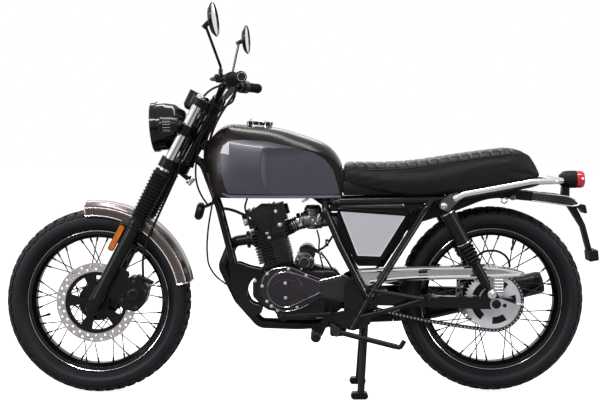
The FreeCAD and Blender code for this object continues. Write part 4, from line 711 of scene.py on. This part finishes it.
def side_skin(low_x, high_x, low_z, high_z, stand_off, soften):
    """A grid that lies on the left of the tank, a little off it, softened over its steps."""
    clear()
    columns = round((high_x - low_x) / grid_step) + 1
    rows = round((high_z - low_z) / grid_step) + 1
    bpy.ops.mesh.primitive_grid_add(x_subdivisions=columns - 1, y_subdivisions=rows - 1, size=1)
    piece = bpy.context.object
    spots = {}
    for vertex in piece.data.vertices:
        column = round((vertex.co.x + 0.5) * (columns - 1))
        row = round((vertex.co.y + 0.5) * (rows - 1))
        x = low_x + (high_x - low_x) * column / (columns - 1)
        z = low_z + (high_z - low_z) * row / (rows - 1)
        hit = tank_side.ray_cast(Vector((x, -0.4, z)), Vector((0, 1, 0)))[0]
        spots[column, row] = -hit.y if hit else None
        vertex.co = (x, column, z)
    known = [reach for reach in spots.values() if reach is not None]
    spots = {key: reach if reach is not None else min(known) for key, reach in spots.items()}
    soft = dict(spots)
    for turn in range(soften):
        blurred = {}
        for (column, row), reach in soft.items():
            around = ((column - 1, row), (column + 1, row), (column, row - 1), (column, row + 1))
            near = [soft[key] for key in around if key in soft]
            blurred[column, row] = (reach + sum(near)) / (1 + len(near))
        soft = {key: max(reach, spots[key]) for key, reach in blurred.items()}
    for vertex in piece.data.vertices:
        row = round((vertex.co.z - low_z) / (high_z - low_z) * (rows - 1))
        vertex.co.y = -soft[round(vertex.co.y), row] - stand_off
    face_outwards()
    if piece.data.polygons[0].normal.y > 0:
        piece.data.flip_normals()
    return piece


def trimmed_skin(name, outline, stand_off, wall, soften, look):
    """A skin cut to an outline, and its twin on the right."""
    xs = [x for x, z in outline]
    zs = [z for x, z in outline]
    skin = side_skin(min(xs) - 0.008, max(xs) + 0.006, max(tank_bottom, min(zs) - 0.008),
                     max(zs) + 0.008, stand_off, soften)
    thick = skin.modifiers.new("wall", "SOLIDIFY")
    thick.thickness = wall
    thick.offset = -1
    cutter = slab(outline, -0.3, -0.02)
    trim = skin.modifiers.new("trim", "BOOLEAN")
    trim.operation = "INTERSECT"
    trim.solver = "EXACT"
    trim.object = cutter
    apply_modifiers(skin)
    bpy.data.objects.remove(cutter)
    twin = copied(skin)
    twin.data.transform(Matrix.Scale(-1, 4, (0, 1, 0)))
    twin.data.flip_normals()
    claim(skin, name + "_left", look, angle=50)
    claim(twin, name + "_right", look, angle=50)
    print(name, "faces", len(skin.data.polygons))


trimmed_skin("tank_panel", panel_outline, 0.0008, 0.0016, 10, "slate_paint")
trimmed_skin("tank_patch", patch_outline, 0.0011, 0.0012, 10, "pale_paint")
# the lip is a moulded strip whose paler colour is partly its paint and partly painted highlight
trimmed_skin("tank_lip", lip_outline, 0.0030, 0.0036, 2, "lip_paint_and_highlight")

# %% [markdown]
# The tyres are block-pattern road tyres: rows of blocks on the shoulders and along the
# middle, with open grooves between. A picture of a tread would lie flat, so one pitch of
# blocks is modelled on a plain strip, then copied round the wheel and wrapped on to the
# tyre's own outline.

# %% Tyre tools
bead_radius, flange_radius, bead_half = 0.232, 0.243, 0.0257
shoulder_radius, crown_drop = 0.2667, 0.014
groove_depth = 0.0045


def rounded_line(corners, steps=6):
    """A line through corners, each (radius, height) or with a rounding after it."""
    line = []
    for i, corner in enumerate(corners):
        spot = Vector(corner[:2])
        if len(corner) < 3:
            line.append(spot)
            continue
        before = (Vector(corners[i - 1][:2]) - spot).normalized()
        after = (Vector(corners[i + 1][:2]) - spot).normalized()
        half = before.angle(after) / 2
        centre = spot + (before + after).normalized() * (corner[2] / sin(half))
        start = spot + before * (corner[2] / tan(half)) - centre
        end = spot + after * (corner[2] / tan(half)) - centre
        for step in range(steps + 1):
            line.append(centre + start.slerp(end, step / steps, start).normalized() * corner[2])
    return line


def tyre_line(half, sink):
    """The outside of a tyre, bead to bead, with the tread sunk by an amount."""
    crown = tyre_radius - sink
    one_side = [(bead_radius, bead_half), (flange_radius, bead_half),
                (shoulder_radius, half - sink * 0.3, 0.022),
                (tyre_radius - crown_drop - sink, half - sink, 0.020), (crown, half * 0.35, 0.040)]
    other_side = [(radius, -across, *rounding) for radius, across, *rounding in one_side]
    return rounded_line(other_side + one_side[::-1])


def profile_reader(line):
    """Gives the place and the outward normal at a distance from the crown along a line."""
    lengths = [0]
    for before, after in zip(line, line[1:]):
        lengths.append(lengths[-1] + (after - before).length)
    middle = lengths[-1] / 2

    def read(reach):
        reach += middle
        for i in range(1, len(line)):
            if reach <= lengths[i] or i == len(line) - 1:
                way = (line[i] - line[i - 1]).normalized()
                spot = line[i - 1] + way * (reach - lengths[i - 1])
                return spot, Vector((way.y, -way.x))
    return read


def block(x_low, x_high, low, high, skew, rise=0.0065):
    """One tread block on the flat strip: x round the wheel, y across it, z outwards."""
    clear()
    bpy.ops.mesh.primitive_cube_add(size=1)
    piece = bpy.context.object
    edit_all()
    bpy.ops.mesh.bevel(offset=0.07, segments=1, affect="EDGES")
    bpy.ops.mesh.bisect(plane_co=(0, 0, 0), plane_no=(0, 1, 0))
    leave_edit()
    for vertex in piece.data.vertices:
        x, y, z = vertex.co
        across = (low + high) / 2 + y * (high - low)
        taper = 1 - 0.12 * (z + 0.5)
        along = (x_low + x_high) / 2 + x * (x_high - x_low) * taper + skew * abs(across)
        vertex.co = (along, across, (z - 0.5) * rise)
    return piece


def treaded_tyre(label, axle, half, pitches):
    """A tyre body with its blocks, standing in for the plain solid."""
    outside = [tuple(p) for p in tyre_line(half, groove_depth)]
    inner = [(bead_radius, 0.0177), (0.2475, 0.0177), (0.2687, half - 0.009), (0.290, half - 0.010),
             (0.3040, half * 0.4)]
    inside = inner + [(0.3050, 0)] + [(radius, -across) for radius, across in inner[::-1]]
    loop = outside + inside
    carcass = turned(loop + loop[:1], placed(*axle), rightwards, steps=96)
    pitch = 2 * pi * tyre_radius / pitches
    rows = [(0.04, 0.80, 0.005, 0.026, 0.18), (0.50, 1.30, -0.026, -0.005, 0.18),
            (0.44, 1.26, 0.031, half + 0.004, 0.10), (-0.02, 0.80, -half - 0.004, -0.031, 0.10)]
    strip = joined([block(start * pitch, end * pitch, low, high, skew)
                    for start, end, low, high, skew in rows])
    tread = stamped(strip, [Matrix.Translation((i * pitch, 0, 0)) for i in range(pitches)])
    read = profile_reader(tyre_line(half, 0))
    for vertex in tread.data.vertices:
        spot, normal = read(vertex.co.y)
        spot = spot + normal * vertex.co.z
        vertex.co = placed(*axle) + circle_spot(spot.x, vertex.co.x / tyre_radius, spot.y)
    tread.data.update()
    pick(tread)
    face_outwards()
    tyre = claim([carcass, tread], label + "_tread", "tyre_rubber", label + "_wheel", 30)
    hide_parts(label + "_tyre")
    print(tyre.name, "faces", len(tyre.data.polygons), "blocks", pitches * len(rows))


# %% Tyres
treaded_tyre("front", front_axle, 0.055, 52)
treaded_tyre("rear", rear_axle, 0.060, 50)

# %% [markdown]
# The covers of the engine are held by small bolts. The same head is copied to every place
# where the photograph shows a bright spot, with its collar flat on the cover.

# %% Engine bolts
cover_spots = [(-57, -124, 390), (-56, -124, 341), (-135, -103, 377), (-119, -103, 326),
               (-104, -103, 310), (-18, -103, 305), (12, -103, 412), (-47, -103, 434),
               (-118, -103, 419), (-84, -86, 293)]
screwed("cover_bolts", cover_spots, 0.0046, 0.005, "zinc_steel")
head_spots = [(-179, -72, 602), (-91, -72, 626), (-120, -72, 553), (-113, -68, 537), (-76, -79, 582),
              (-164, -26, 385), (-15, -44, 486)]
screwed("head_bolts", head_spots, 0.0048, 0.006, "zinc_steel")
washer = turned([(0.0062, 0), (0.0092, 0), (0.0092, 0.0018), (0.0078, 0.003), (0.0062, 0.0018)],
                placed(*head_spots[4]), leftwards, 24)
claim(washer, "head_washer", "dark_chrome")
print("engine bolts", len(cover_spots) + len(head_spots))

# %% [markdown]
# Two bright rings round the starter's end are painted highlights on its chamfered rims, and
# the head's end cap at the front is bare metal.

# %% Starter highlight rings and head cap
starter_x, starter_z = 6, 453
highlight_rings = [turned([(r, 0), (r + 0.0026, 0), (r + 0.0022, 0.0016), (r + 0.0008, 0.002), (r, 0.0012)],
                placed(starter_x, across, starter_z), leftwards, 40)
         for r, across in ((0.0152, -70), (0.0292, -63.4))]
claim(highlight_rings, "starter_highlight_rings", "dark_chrome")
screw_spots = [(starter_x + 25 * cos(a), -65, starter_z + 25 * sin(a)) for a in (0.6, 2.7, 4.3)]
screwed("starter_screws", screw_spots, 0.0026, 0.003, "zinc_steel")
cap = rod(placed(-189, 0, 592), placed(-206, 0, 587), 0.0185, 28, 0.0015)
claim(cap, "head_cap", "zinc_steel")
print("starter rings and head cap")

# %% [markdown]
# The carburettor gets its bright parts: the clamp round the intake with its screw, the
# cable holder, the throttle lever and the screws of its bowl. A fuel pipe runs up to the
# tank.

# %% Carburettor parts
intake_way = (0.9636, 0, 0.2672)
intake_clamp = turned([(0.0265, -0.006), (0.029, -0.006), (0.0295, 0), (0.029, 0.006), (0.0265, 0.006)],
                      placed(-11, -12, 588), intake_way, 32)
clamp_screw = rod(placed(-11, -48, 580), placed(-11, -48, 604), 0.003, 12)
holder = brick(placed(8, -34, 661), (0.026, 0.004, 0.009), 0.001, -28)
lever_arm = brick(placed(52, -47, 602), (0.008, 0.004, 0.030), 0.001, 25)
claim([intake_clamp, clamp_screw, holder, lever_arm], "carburettor_brightwork", "chrome")
screwed("carburettor_screws", [(22, -51, 606), (44, -51, 583), (34, -51, 594)], 0.0032, 0.004,
        "zinc_steel")
fuel_pipe = cord(route((62, -40, 588), (74, -46, 612), (70, -44, 640), (58, -40, 668)), 0.0036)
claim(fuel_pipe, "fuel_pipe", "soft_rubber")
print("carburettor parts")

# %% [markdown]
# The spark plug's cap stands out of the head, and its lead runs up under the tank.

# %% Plug and lead
plug = turned([(0, 0), (0.009, 0), (0.009, 0.012), (0.006, 0.014), (0.006, 0.034), (0, 0.036)],
              placed(-150, -50, 566), (-0.35, -0.9, 0.25), 24)
claim(plug, "plug_cap", "moulded_black")
lead = cord(route((-162, -81, 575), (-182, -92, 600), (-196, -70, 640), (-188, -40, 672)), 0.0034)
claim(lead, "plug_lead", "soft_rubber")
print("plug and lead")

# %% [markdown]
# The chain guard is drawn out of bright sheet: two round beads run along it with a crease
# between them, a black plate of painted shade stands for its slot, and its hanger is ribbed.

# %% Chain guard beads
upper_bead = cord(side_route(-98.5, (196, 426), (328, 433), (480, 436.5), (620, 438), (690, 431),
                             (734, 420)), 0.0062)
lower_bead = cord(side_route(-98.5, (226, 392), (330, 405), (480, 408.5), (640, 411), (728, 415)), 0.0078)
claim([upper_bead, lower_bead], "guard_beads", "chrome")
ribs = [rod(placed(644, -102.4, z), placed(671, -102.4, z), 0.0026, 12) for z in range(398, 357, -10)]
claim(ribs, "hanger_ribs", "chrome")
# a thin black plate in place of the slot's opening: painted shade
slot_shade_plate = slab([(0.389, 0.4195), (0.4185, 0.4215), (0.4185, 0.4285), (0.389, 0.4275)],
                  -0.1012, -0.1002)
claim(slot_shade_plate, "guard_slot_shade", "moulded_black")
print("chain guard beads")

# %% [markdown]
# Each shock hangs on two bright eye bolts. The springs are wound as real wire between
# their seats, and two polished rings close the cover above them.


# %% Shock fittings
def shock_place(side, along):
    """A place on the shock's own line, measured in millimetres up from its lower eye."""
    base, top = [placed(x, side * y, z) for x, y, z in (shock_foot, shock_head)]
    return base + (top - base).normalized() * along * mm


shock_way = (placed(*shock_head) - placed(*shock_foot)).normalized()
across_way = shock_way.cross(Vector(rightwards))
coils, coil_radius, coil_foot, coil_height, coil_steps = 5.2, 0.0222, 124, 67, 84
lower_bolt = [(0, 0), (0.0146, 0), (0.0146, 0.003), (0.012, 0.0055), (0.0075, 0.006),
              (0.0075, 0.011), (0.006, 0.0125), (0, 0.0125)]
upper_bolt = [(0, 0), (0.0105, 0), (0.0105, 0.003), (0.008, 0.0045), (0.008, 0.008),
              (0.0055, 0.0112), (0, 0.0125)]
cover_ring = [(0.0245, 0), (0.0262, 0), (0.0262, 0.0025), (0.0245, 0.0025)]
fittings = []
springs = []
for side in both:
    out = (0, side, 0)
    fittings.append(turned(lower_bolt, placed(shock_foot[0], side * 153, shock_foot[2]), out, 32))
    fittings.append(turned(upper_bolt, placed(shock_head[0], side * 154.3, shock_head[2]), out, 28))
    fittings += [turned(cover_ring, shock_place(side, along), shock_way, 36) for along in (190, 304)]
    coil = []
    for step in range(coil_steps + 1):
        angle = 2 * pi * coils * step / coil_steps
        spoke = Vector(rightwards) * cos(angle) + across_way * sin(angle)
        coil.append(shock_place(side, coil_foot + coil_height * step / coil_steps) + spoke * coil_radius)
    springs.append(cord(coil, 0.0034, 2))
claim(fittings, "shock_fittings", "chrome")
claim(springs, "shock_springs", "satin_black", angle=60)
print("shock fittings")

# %% [markdown]
# At the end of the swingarm the adjuster plate carries a dark nut, a dark disc of painted
# shade stands for its small round hole, and a threaded rod with its nut points backwards.

# %% Chain adjuster
adjuster_nuts_and_hole_shade = []
adjuster_rods = []
for side in both:
    out = (0, side, 0)
    adjuster_nuts_and_hole_shade += [
        turned([(0, 0), (0.0152, 0), (0.0152, 0.002), (0.0125, 0.0035), (0, 0.0035)],
               placed(rear_axle[0], side * 144, rear_axle[2]), out, 32),
        # a thin dark disc in place of the plate's hole: painted shade
        turned([(0, 0), (0.0068, 0), (0.0062, 0.0008), (0, 0.0008)], placed(672, side * 134.5, 317),
               out, 24)]
    for start, end, radius, faces in ((700, 738, 0.0034, 14), (708, 714, 0.0072, 6)):
        adjuster_rods.append(rod(placed(start, side * 120, 318), placed(end, side * 120, 318), radius,
                                 faces))
claim(adjuster_nuts_and_hole_shade, "adjuster_nuts_and_hole_shade", "satin_black")
claim(adjuster_rods, "adjuster_rods", "zinc_steel")
print("chain adjusters")

# %% [markdown]
# Under the grab rail hang the seat lock and a helmet hook. The tail's side is a smoky
# plate between two bright lines.

# %% Lock, hook and tail
lock = turned([(0, 0), (0.0095, 0), (0.0095, 0.016), (0.0075, 0.018), (0.0075, 0.0165), (0, 0.0165)],
              placed(704, -84, 674), leftwards, 28)
claim(lock, "seat_lock", "dark_chrome")
hook = hoop(placed(676, -92, 664), (pi / 2, 0, 0), 0.0095, 0.0022, 28, 10)
hook_arm = rod(placed(683, -92, 672), placed(696, -84, 678), 0.0024, 12)
claim([hook, hook_arm], "helmet_hook", "dark_chrome")
tail_outline = [(0.772, 0.6905), (0.898, 0.6765), (0.924, 0.656), (0.929, 0.651), (0.917, 0.6425),
                (0.80, 0.6585), (0.772, 0.6615)]
edges = []
tail_skins = []
for side in both:
    edges.append(cord(side_route(side * 78.5, (770, 661.5), (800, 659), (850, 651.5), (905, 643.5),
                                 (924, 646), (931, 651)), 0.0022))
    edges.append(cord(side_route(side * 78.5, (776, 690), (820, 685), (870, 679.5), (898, 676),
                                 (918, 664)), 0.0018))
    tail_skins.append(slab(tail_outline, *sorted((side * 0.0779, side * 0.0787))))
claim(edges, "tail_edges", "chrome")
claim(tail_skins, "tail_skins", "smoky_chrome")
print("lock, hook and tail")

# %% [markdown]
# The mirrors have real glass in black rings: a bright disc a little in front of the bottom
# of each dish.

# %% Mirror glass
panes = []
mirror_rings = []
for centre, lean in ((placed(-271, -346, 1242), 7), (placed(-222, 345, 1243), 3)):
    normal = Vector((cos(radians(lean)), -0.11, sin(radians(lean)))).normalized()
    panes.append(turned([(0, 0.0042), (0.0495, 0.0042), (0.0495, 0.0050), (0.048, 0.0054), (0, 0.0058)],
                        centre, normal, 48))
    mirror_rings.append(hoop(centre + normal * 0.0046, normal.to_track_quat("Z", "Y").to_euler(),
                             0.0516, 0.0030, 56, 12))
claim(panes, "mirror_glass", "chrome", "steering")
claim(mirror_rings, "mirror_rings", "gloss_black", "steering")
print("mirror glass")

# %% [markdown]
# The two bullet lamps beside the headlamp carry fine ribs.


# %% Indicator ribs
def bullet_lamp(side):
    """The centre of the bullet lamp on one side."""
    return fork_place(-47, side * 127, 657)


ribs = []
for side in both:
    for i in range(14):
        angle = 2 * pi * i / 14
        foot = bullet_lamp(side) + Vector((0, cos(angle), sin(angle))) * 0.0232
        ribs.append(rod(foot + Vector((-0.024, 0, 0)), foot + Vector((0.002, 0, 0)), 0.0013, 8))
claim(ribs, "indicator_ribs", "dark_chrome", "steering")
print("indicator ribs", len(ribs))

# %% [markdown]
# Grips are moulded with fine rings, so the hands don't slip, and their flanges stay plain.
# Each ends in a turned black weight with a thin bright line round it.

# %% Grips and bar ends
ring_count, ring_step = 22, 0.0051
ring_line = [(0.0155, -0.0011), (0.0172, -0.0011), (0.0176, 0), (0.0172, 0.0011), (0.0155, 0.0011)]
weight_line = [(0, 0), (0.0150, 0), (0.0150, 0.0018), (0.0125, 0.0036), (0.0085, 0.0036),
               (0.0078, 0.0022), (0, 0.0022)]
bright_line = [(0.0124, 0.0032), (0.0132, 0.0032), (0.0132, 0.0040), (0.0124, 0.0040)]
grip_rings = []
ends = []
lines = []
for side in both:
    way = Vector((0.2919, 0.9564 * side, 0)).normalized()
    grip_end = placed(-181.5, side * 385, 1061)
    for i in range(ring_count):
        grip_rings.append(turned(ring_line, grip_end - way * (0.010 + i * ring_step), way, 20))
    ends.append(turned(weight_line, grip_end + way * 0.0042, way, 32))
    lines.append(turned(bright_line, grip_end + way * 0.0042, way, 32))
claim(grip_rings, "grip_rings", "soft_rubber", "steering")
claim(ends, "bar_ends", "gloss_black", "steering")
claim(lines, "bar_end_lines", "chrome", "steering")
print("grip rings", len(grip_rings))

# %% [markdown]
# The filler cap has a domed lid on small posts, with dark windows between them.

# %% Filler cap
cap_way = Vector((0.05, 0, 1)).normalized()
cap_base = placed(-149, 0, 908)
lid = turned([(0, 0.019), (0.0440, 0.019), (0.0452, 0.021), (0.043, 0.024), (0.030, 0.030),
              (0.012, 0.0328), (0, 0.0332)], cap_base, cap_way, 48)
posts = []
for i in range(12):
    spin = 2 * pi * i / 12
    foot = cap_base + cap_way * 0.0145 + Vector((cos(spin), sin(spin), 0)) * 0.0432
    posts.append(rod(foot - cap_way * 0.005, foot + cap_way * 0.005, 0.0022, 10))
claim([lid] + posts, "filler_lid", "chrome")
core = turned([(0, 0.0092), (0.0434, 0.0092), (0.0434, 0.0192), (0, 0.0192)], cap_base, cap_way, 48)
claim(core, "filler_core", "moulded_black")
print("filler cap posts", len(posts))

# %% [markdown]
# Every spoke ends in a small black nipple at the rim, and each wheel has its valve.

# %% Nipples and valves
spokes_a_side, crossing_angle = 18, 58
hub_circle, rim_circle = 61, 218.5
for label, axle, valve_angle in (("front", front_axle, 196), ("rear", rear_axle, 66)):
    body = label + "_wheel"
    hub = placed(*axle)
    nipples = []
    for side in both:
        for i in range(spokes_a_side):
            lead = 1 if i % 2 == 0 else -1
            hub_angle = radians(i * 20 + (side + 1) * 5)
            rim_angle = hub_angle + radians(crossing_angle * lead)
            foot = hub + circle_spot(hub_circle, hub_angle, side * 33.5 + 3.2 * lead) * mm
            head = hub + circle_spot(rim_circle, rim_angle, side * (7.5 + 2.5 * lead)) * mm
            nipples.append(rod(head, head + (foot - head).normalized() * 0.016, 0.0034, 8))
    claim(nipples, label + "_nipples", "satin_black", body)
    way = circle_spot(1, radians(valve_angle))
    valve = [rod(hub + way * 0.218, hub + way * 0.186, 0.0034, 12),
             rod(hub + way * 0.192, hub + way * 0.180, 0.0046, 12)]
    claim(valve, label + "_valve", "moulded_black", body)
print("nipples in each wheel", len(both) * spokes_a_side)

# %% [markdown]
# Between the seat, the rails and the tubes sit plain parts that close the gaps: the pan
# and the nose under the seat, the tray of the battery, and two brackets.

# %% Pan, nose, tray and brackets
moulded, painted = ("moulded_black", "fender_plastic"), ("satin_black", "frame_black")
plates = [
    ("seat_pan", moulded, -0.102, 0.102, 0.004,
     [(0.137, 0.729), (0.150, 0.729), (0.335, 0.690), (0.335, 0.681), (0.137, 0.683)]),
    ("battery_tray", moulded, -0.104, 0.104, 0.004,
     [(0.166, 0.474), (0.274, 0.474), (0.252, 0.444), (0.186, 0.444)]),
    ("panel_bracket", painted, -0.112, -0.104, 0.002,
     [(0.330, 0.664), (0.405, 0.668), (0.385, 0.630), (0.352, 0.626)]),
    ("seat_nose", moulded, -0.088, 0.088, 0.002,
     [(0.1295, 0.690), (0.141, 0.690), (0.141, 0.768), (0.1295, 0.768)]),
    ("panel_clip", painted, -0.104, -0.094, 0.002,
     [(0.090, 0.652), (0.124, 0.652), (0.116, 0.628), (0.094, 0.628)])]
for name, (look, slot), low, high, bevel, outline in plates:
    claim(slab(outline, low, high, bevel), name, look)
print("plates and brackets", len(plates))

# %% [markdown]
# A thin bright line runs round each side panel's insert, and the front mudguard is rolled
# round a wire at its rim, so its edge shines all the way round.

# %% Insert edges
corners = [(128, 628), (340, 613), (258, 481), (184, 484)]
edges = []
for side in both:
    for (x, z), (x2, z2) in zip(corners, corners[1:] + corners[:1]):
        edges.append(rod(placed(x, side * 133, z), placed(x2, side * 133, z2), 0.0016, 8))
claim(edges, "insert_edges", "chrome")
print("insert edges", len(edges))


# %% Mudguard rim
def fender_place(reach, across, angle):
    """A place on the front mudguard, from its own centre."""
    return placed(-712, 0, 320) + circle_spot(reach, radians(angle), across) * mm


front_end, rear_end = 95, 11
mouth = [(290, 64), (322, 64), (335, 48), (339, 25)]
mouth = [(reach, -across) for reach, across in mouth] + mouth[::-1]
rims = []
for side in both:
    rims.append(cord([fender_place(291, side * 64.5, rear_end + (front_end - rear_end) * i / 24)
                      for i in range(25)], 0.0021, 2))
for angle in (rear_end, front_end):
    rims.append(cord([fender_place(reach, across, angle) for reach, across in mouth], 0.0021, 2))
claim(rims, "fender_rim", "chrome", "steering")
print("mudguard rim", len(rims))

# %% [markdown]
# The headlamp's bezel is black with a thin bright front edge, and each bullet lamp has a
# black bezel round its lens.

# %% Lamp bezels
band = turned([(0.0862, -0.0068), (0.0868, -0.0068), (0.0868, 0.0112), (0.0828, 0.0112),
               (0.0828, 0.0106), (0.0862, 0.0106)], placed(-507, 0, 912), (121, 0, 9), 64)
claim(band, "lamp_band", "gloss_black", "steering")
bezels = [turned([(0.0224, 0.0262), (0.0242, 0.0262), (0.0238, 0.034), (0.0224, 0.0355)],
                 bullet_lamp(side), (-1, 0, 0), 36) for side in both]
claim(bezels, "indicator_bezels", "gloss_black", "steering")
print("lamp bezels", len(bezels) + 1)

# %% [markdown]
# A thin bright ring shows where each rim meets its tyre: a painted highlight on the rim's edge.

# %% Rim highlight rings
lip_line = [(0.2400, 0), (0.2424, 0), (0.2424, 0.0008), (0.2412, 0.0014), (0.2400, 0.0008)]
for label, (x, y, z) in (("front", front_axle), ("rear", rear_axle)):
    lips = [turned(lip_line, placed(x, side * 30, z), (0, side, 0), 96) for side in both]
    claim(lips, label + "_rim_highlight_rings", "dark_chrome", label + "_wheel")
    print(label, "rim lips", len(lips))

# %% [markdown]
# The caliper on the left leg is bolted through, with a round cap over its piston and a
# bridge above.

# %% Caliper bolts
bolt_spots = [tuple(fork_place(*spot) * 1000)
              for spot in ((78, -98, 58), (132, -98, 56), (134, -98, 122), (84, -98, 132))]
screwed("caliper_bolts", bolt_spots, 0.0052, 0.007, "dark_steel", "steering")
piston_cap = turned([(0.008, 0), (0.021, 0), (0.021, 0.002), (0.017, 0.004), (0.011, 0.004),
                     (0.008, 0.0015)], fork_place(104, -106, 90), leftwards, 36)
bridge = brick(fork_place(112, -70, 150), (0.060, 0.036, 0.010), 0.003, degrees(rake))
claim([piston_cap, bridge], "caliper_caps", "satin_black", "steering")
print("caliper bolts", len(bolt_spots))

# %% [markdown]
# Cables run from the bar round the steering head. The lamp's own loom
# turns with the bar, and the steering lock sits on an arm of the lower clamp.


# %% Steering cables
def crossing(name, spots, radius):
    """A cable between the bar and the frame, from one place to another, given no body."""
    cable = claim(cord(route(*spots), radius), name, "soft_rubber", body=None, angle=50)
    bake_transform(cable)
    clear()


crossing("throttle_cable", [(-206, -262, 1040), (-212, -250, 992), (-243, -210, 979), (-273, -160, 962),
                            (-307, -104, 908), (-334, -64, 833), (-330, -54, 759), (-307, -44, 700),
                            (-290, -36, 680)], 0.0034)
crossing("clutch_line", [(-268, -150, 1052), (-284, -126, 1010), (-306, -100, 969), (-338, -72, 894),
                         (-358, -60, 816), (-366, -52, 738), (-346, -44, 672), (-318, -40, 640)],
         0.0032)
crossing("loom", [(-240, 190, 1052), (-262, 150, 1010), (-292, 90, 960), (-322, 58, 890),
                  (-336, 48, 810), (-318, 42, 740), (-290, 34, 690)],
         0.0046)
lamp_loom = cord(route((-290, -36, 985), (-322, -44, 960), (-356, -40, 935), (-386, -20, 918),
                       (-402, 0, 915)), 0.0048)
claim(lamp_loom, "lamp_loom", "soft_rubber", "steering")
ignition = rod(placed(-398, 0, 716), placed(-378, 0, 738), 0.012, 24, 0.001)
claim(ignition, "steering_lock", "chrome", "steering")
lock_arm = rod(fork_place(34, 0, 522), placed(-388, 0, 727), 0.0085, 16, 0.001)
claim(lock_arm, "lock_arm", "satin_black", "steering")
print("steering cables")

# %% [markdown]
# Behind the engine run three leads with two connectors and small screws.

# %% Leads behind the engine
leads = [
    cord(route((34, -30, 486), (58, -52, 492), (82, -70, 512), (96, -92, 536), (110, -118, 560)), 0.0040),
    cord(route((-8, -40, 500), (18, -52, 506), (44, -58, 498), (78, -60, 470), (100, -58, 428)), 0.0034),
    cord(route((48, -40, 560), (58, -48, 530), (54, -52, 504), (58, -54, 474), (70, -56, 430)), 0.0030)]
claim(leads, "engine_leads", "soft_rubber")
plugs = [brick(placed(56, -62, 486), (0.022, 0.012, 0.010), 0.002, 20),
         brick(placed(82, -74, 520), (0.012, 0.012, 0.024), 0.002)]
claim(plugs, "connectors", "moulded_black")
screwed("connector_screws", [(30, -60, 462), (60, -68, 487), (84, -80, 522), (68, -66, 470)],
        0.0034, 0.004, "zinc_steel")
print("leads", len(leads), "connectors", len(plugs))

# %% [markdown]
# The chain's pins stand in the same places as in the solid: one in every valley of the
# rear sprocket, evenly along the upper run, and along the hanging lower run.

# %% Chain pins
chain_pitch, front_teeth, rear_teeth, chain_sag, chain_line = 12.7, 15, 48, 14, -84
front_hub, rear_hub = Vector((118, 0, 368)), Vector(rear_axle)
front_reach, rear_reach = [chain_pitch / (2 * sin(pi / teeth))
                           for teeth in (front_teeth, rear_teeth)]
line = rear_hub - front_hub
tilt = atan2(line.z, line.x)
spread = asin((rear_reach - front_reach) / line.length)
top, low = pi / 2 + tilt + spread, -pi / 2 + tilt - spread


def run_spots(start, end, links, drop):
    """The pins of a free run between two sprockets, hanging by a drop in its middle."""
    shares = [i / links for i in range(1, links)]
    return [start + (end - start) * share - Vector((0, 0, 4 * drop * share * (1 - share)))
            for share in shares]


step = 2 * pi / rear_teeth
rear_wrap = [rear_hub + circle_spot(rear_reach, i * step)
             for i in range(floor(top / step), ceil(low / step) - 1, -1)]
turn = low - (top - 2 * pi)
links = round(turn / (2 * pi / front_teeth))
front_wrap = [front_hub + circle_spot(front_reach, low - turn * i / links) for i in range(links + 1)]
upper = round((rear_wrap[0] - front_wrap[-1]).length / chain_pitch)
lower = round((front_wrap[0] - rear_wrap[-1]).length / chain_pitch)
if (len(rear_wrap) + len(front_wrap) + upper + lower) % 2:
    lower += 1
pin_spots = (run_spots(front_wrap[-1], rear_wrap[0], upper, 0) + rear_wrap
             + run_spots(rear_wrap[-1], front_wrap[0], lower, chain_sag) + front_wrap)
pin = rod(Vector((0, 0, -0.0078)), Vector((0, 0, 0.0078)), 0.0026, 10)
pins = stamped(pin, [facing(placed(spot.x, chain_line, spot.z), rightwards) for spot in pin_spots])
claim(pins, "chain_pins", "zinc_steel")
print("chain pins", len(pin_spots))

# %% [markdown]
# Behind the sprocket's windows the hub's carrier is black.

# %% Sprocket carrier
carrier = turned([(0.032, 0.0788), (0.086, 0.0788), (0.086, 0.0802), (0.032, 0.0802)],
                 placed(*rear_axle), leftwards, 64)
claim(carrier, "sprocket_carrier", "satin_black", "rear_wheel")
print("sprocket carrier")

# %% [markdown]
# Fine bright lines laid along the edges of the engine covers are painted highlights: they follow
# the dome, the beak, the flange and the sprocket cover. The frame's slanted tubes carry a thin
# painted highlight line on their outer side, as gloss paint shows it under a strip of
# light.

# %% Painted edge highlights
dome_angles = [radians(a) for a in range(62, 300, 14)]
dome = [(-58 + 59.6 * cos(a), 368 + 59.6 * sin(a)) for a in dome_angles]
painted_highlight = [
    (-119.6, 0.0008, dome),
    (-118.2, 0.0011, [(-44, 428), (-10, 417), (24, 405), (50, 396), (60, 390)]),
    (-118.2, 0.0008, [(60, 358), (30, 344), (0, 330), (-30, 316), (-43, 310)]),
    (-103.2, 0.0012, [(-138, 372), (-136, 396), (-124, 418), (-104, 433), (-74, 439), (-44, 441),
                      (-24, 434), (-6, 424), (26, 413), (58, 402)]),
    (-108.2, 0.0008, [(58, 397), (80, 402), (104, 408), (128, 414), (140, 415), (150, 408)]),
    (-103.2, 0.001, [(-112, 313), (-86, 299), (-58, 291), (-30, 296), (-6, 302), (20, 315)])]
# bright dark-chrome cords on the cover edges: painted highlights
claim([cord(side_route(across, *spots), radius, 2) for across, radius, spots in painted_highlight],
      "painted_highlight_edges", "dark_chrome")
print("rubbed edges", len(painted_highlight))

# %% Painted tube highlights
# thin bright cords along the slanted tubes stand for their highlights: painted highlight
tube_highlights = []
for spots in (((78, 630), (100, 578), (127, 516), (170, 432), (212, 350)),
              ((414, 640), (370, 571), (323, 497), (272, 417), (228, 346))):
    sunk_start, *outside = [placed(x + 4, -136.2, z) for x, z in spots]
    tube_highlights.append(cord([sunk_start + placed(0, 2, 0)] + outside, 0.0007, 2))
claim(tube_highlights, "tube_highlights", "dark_chrome")
print("tube lines", len(tube_highlights))
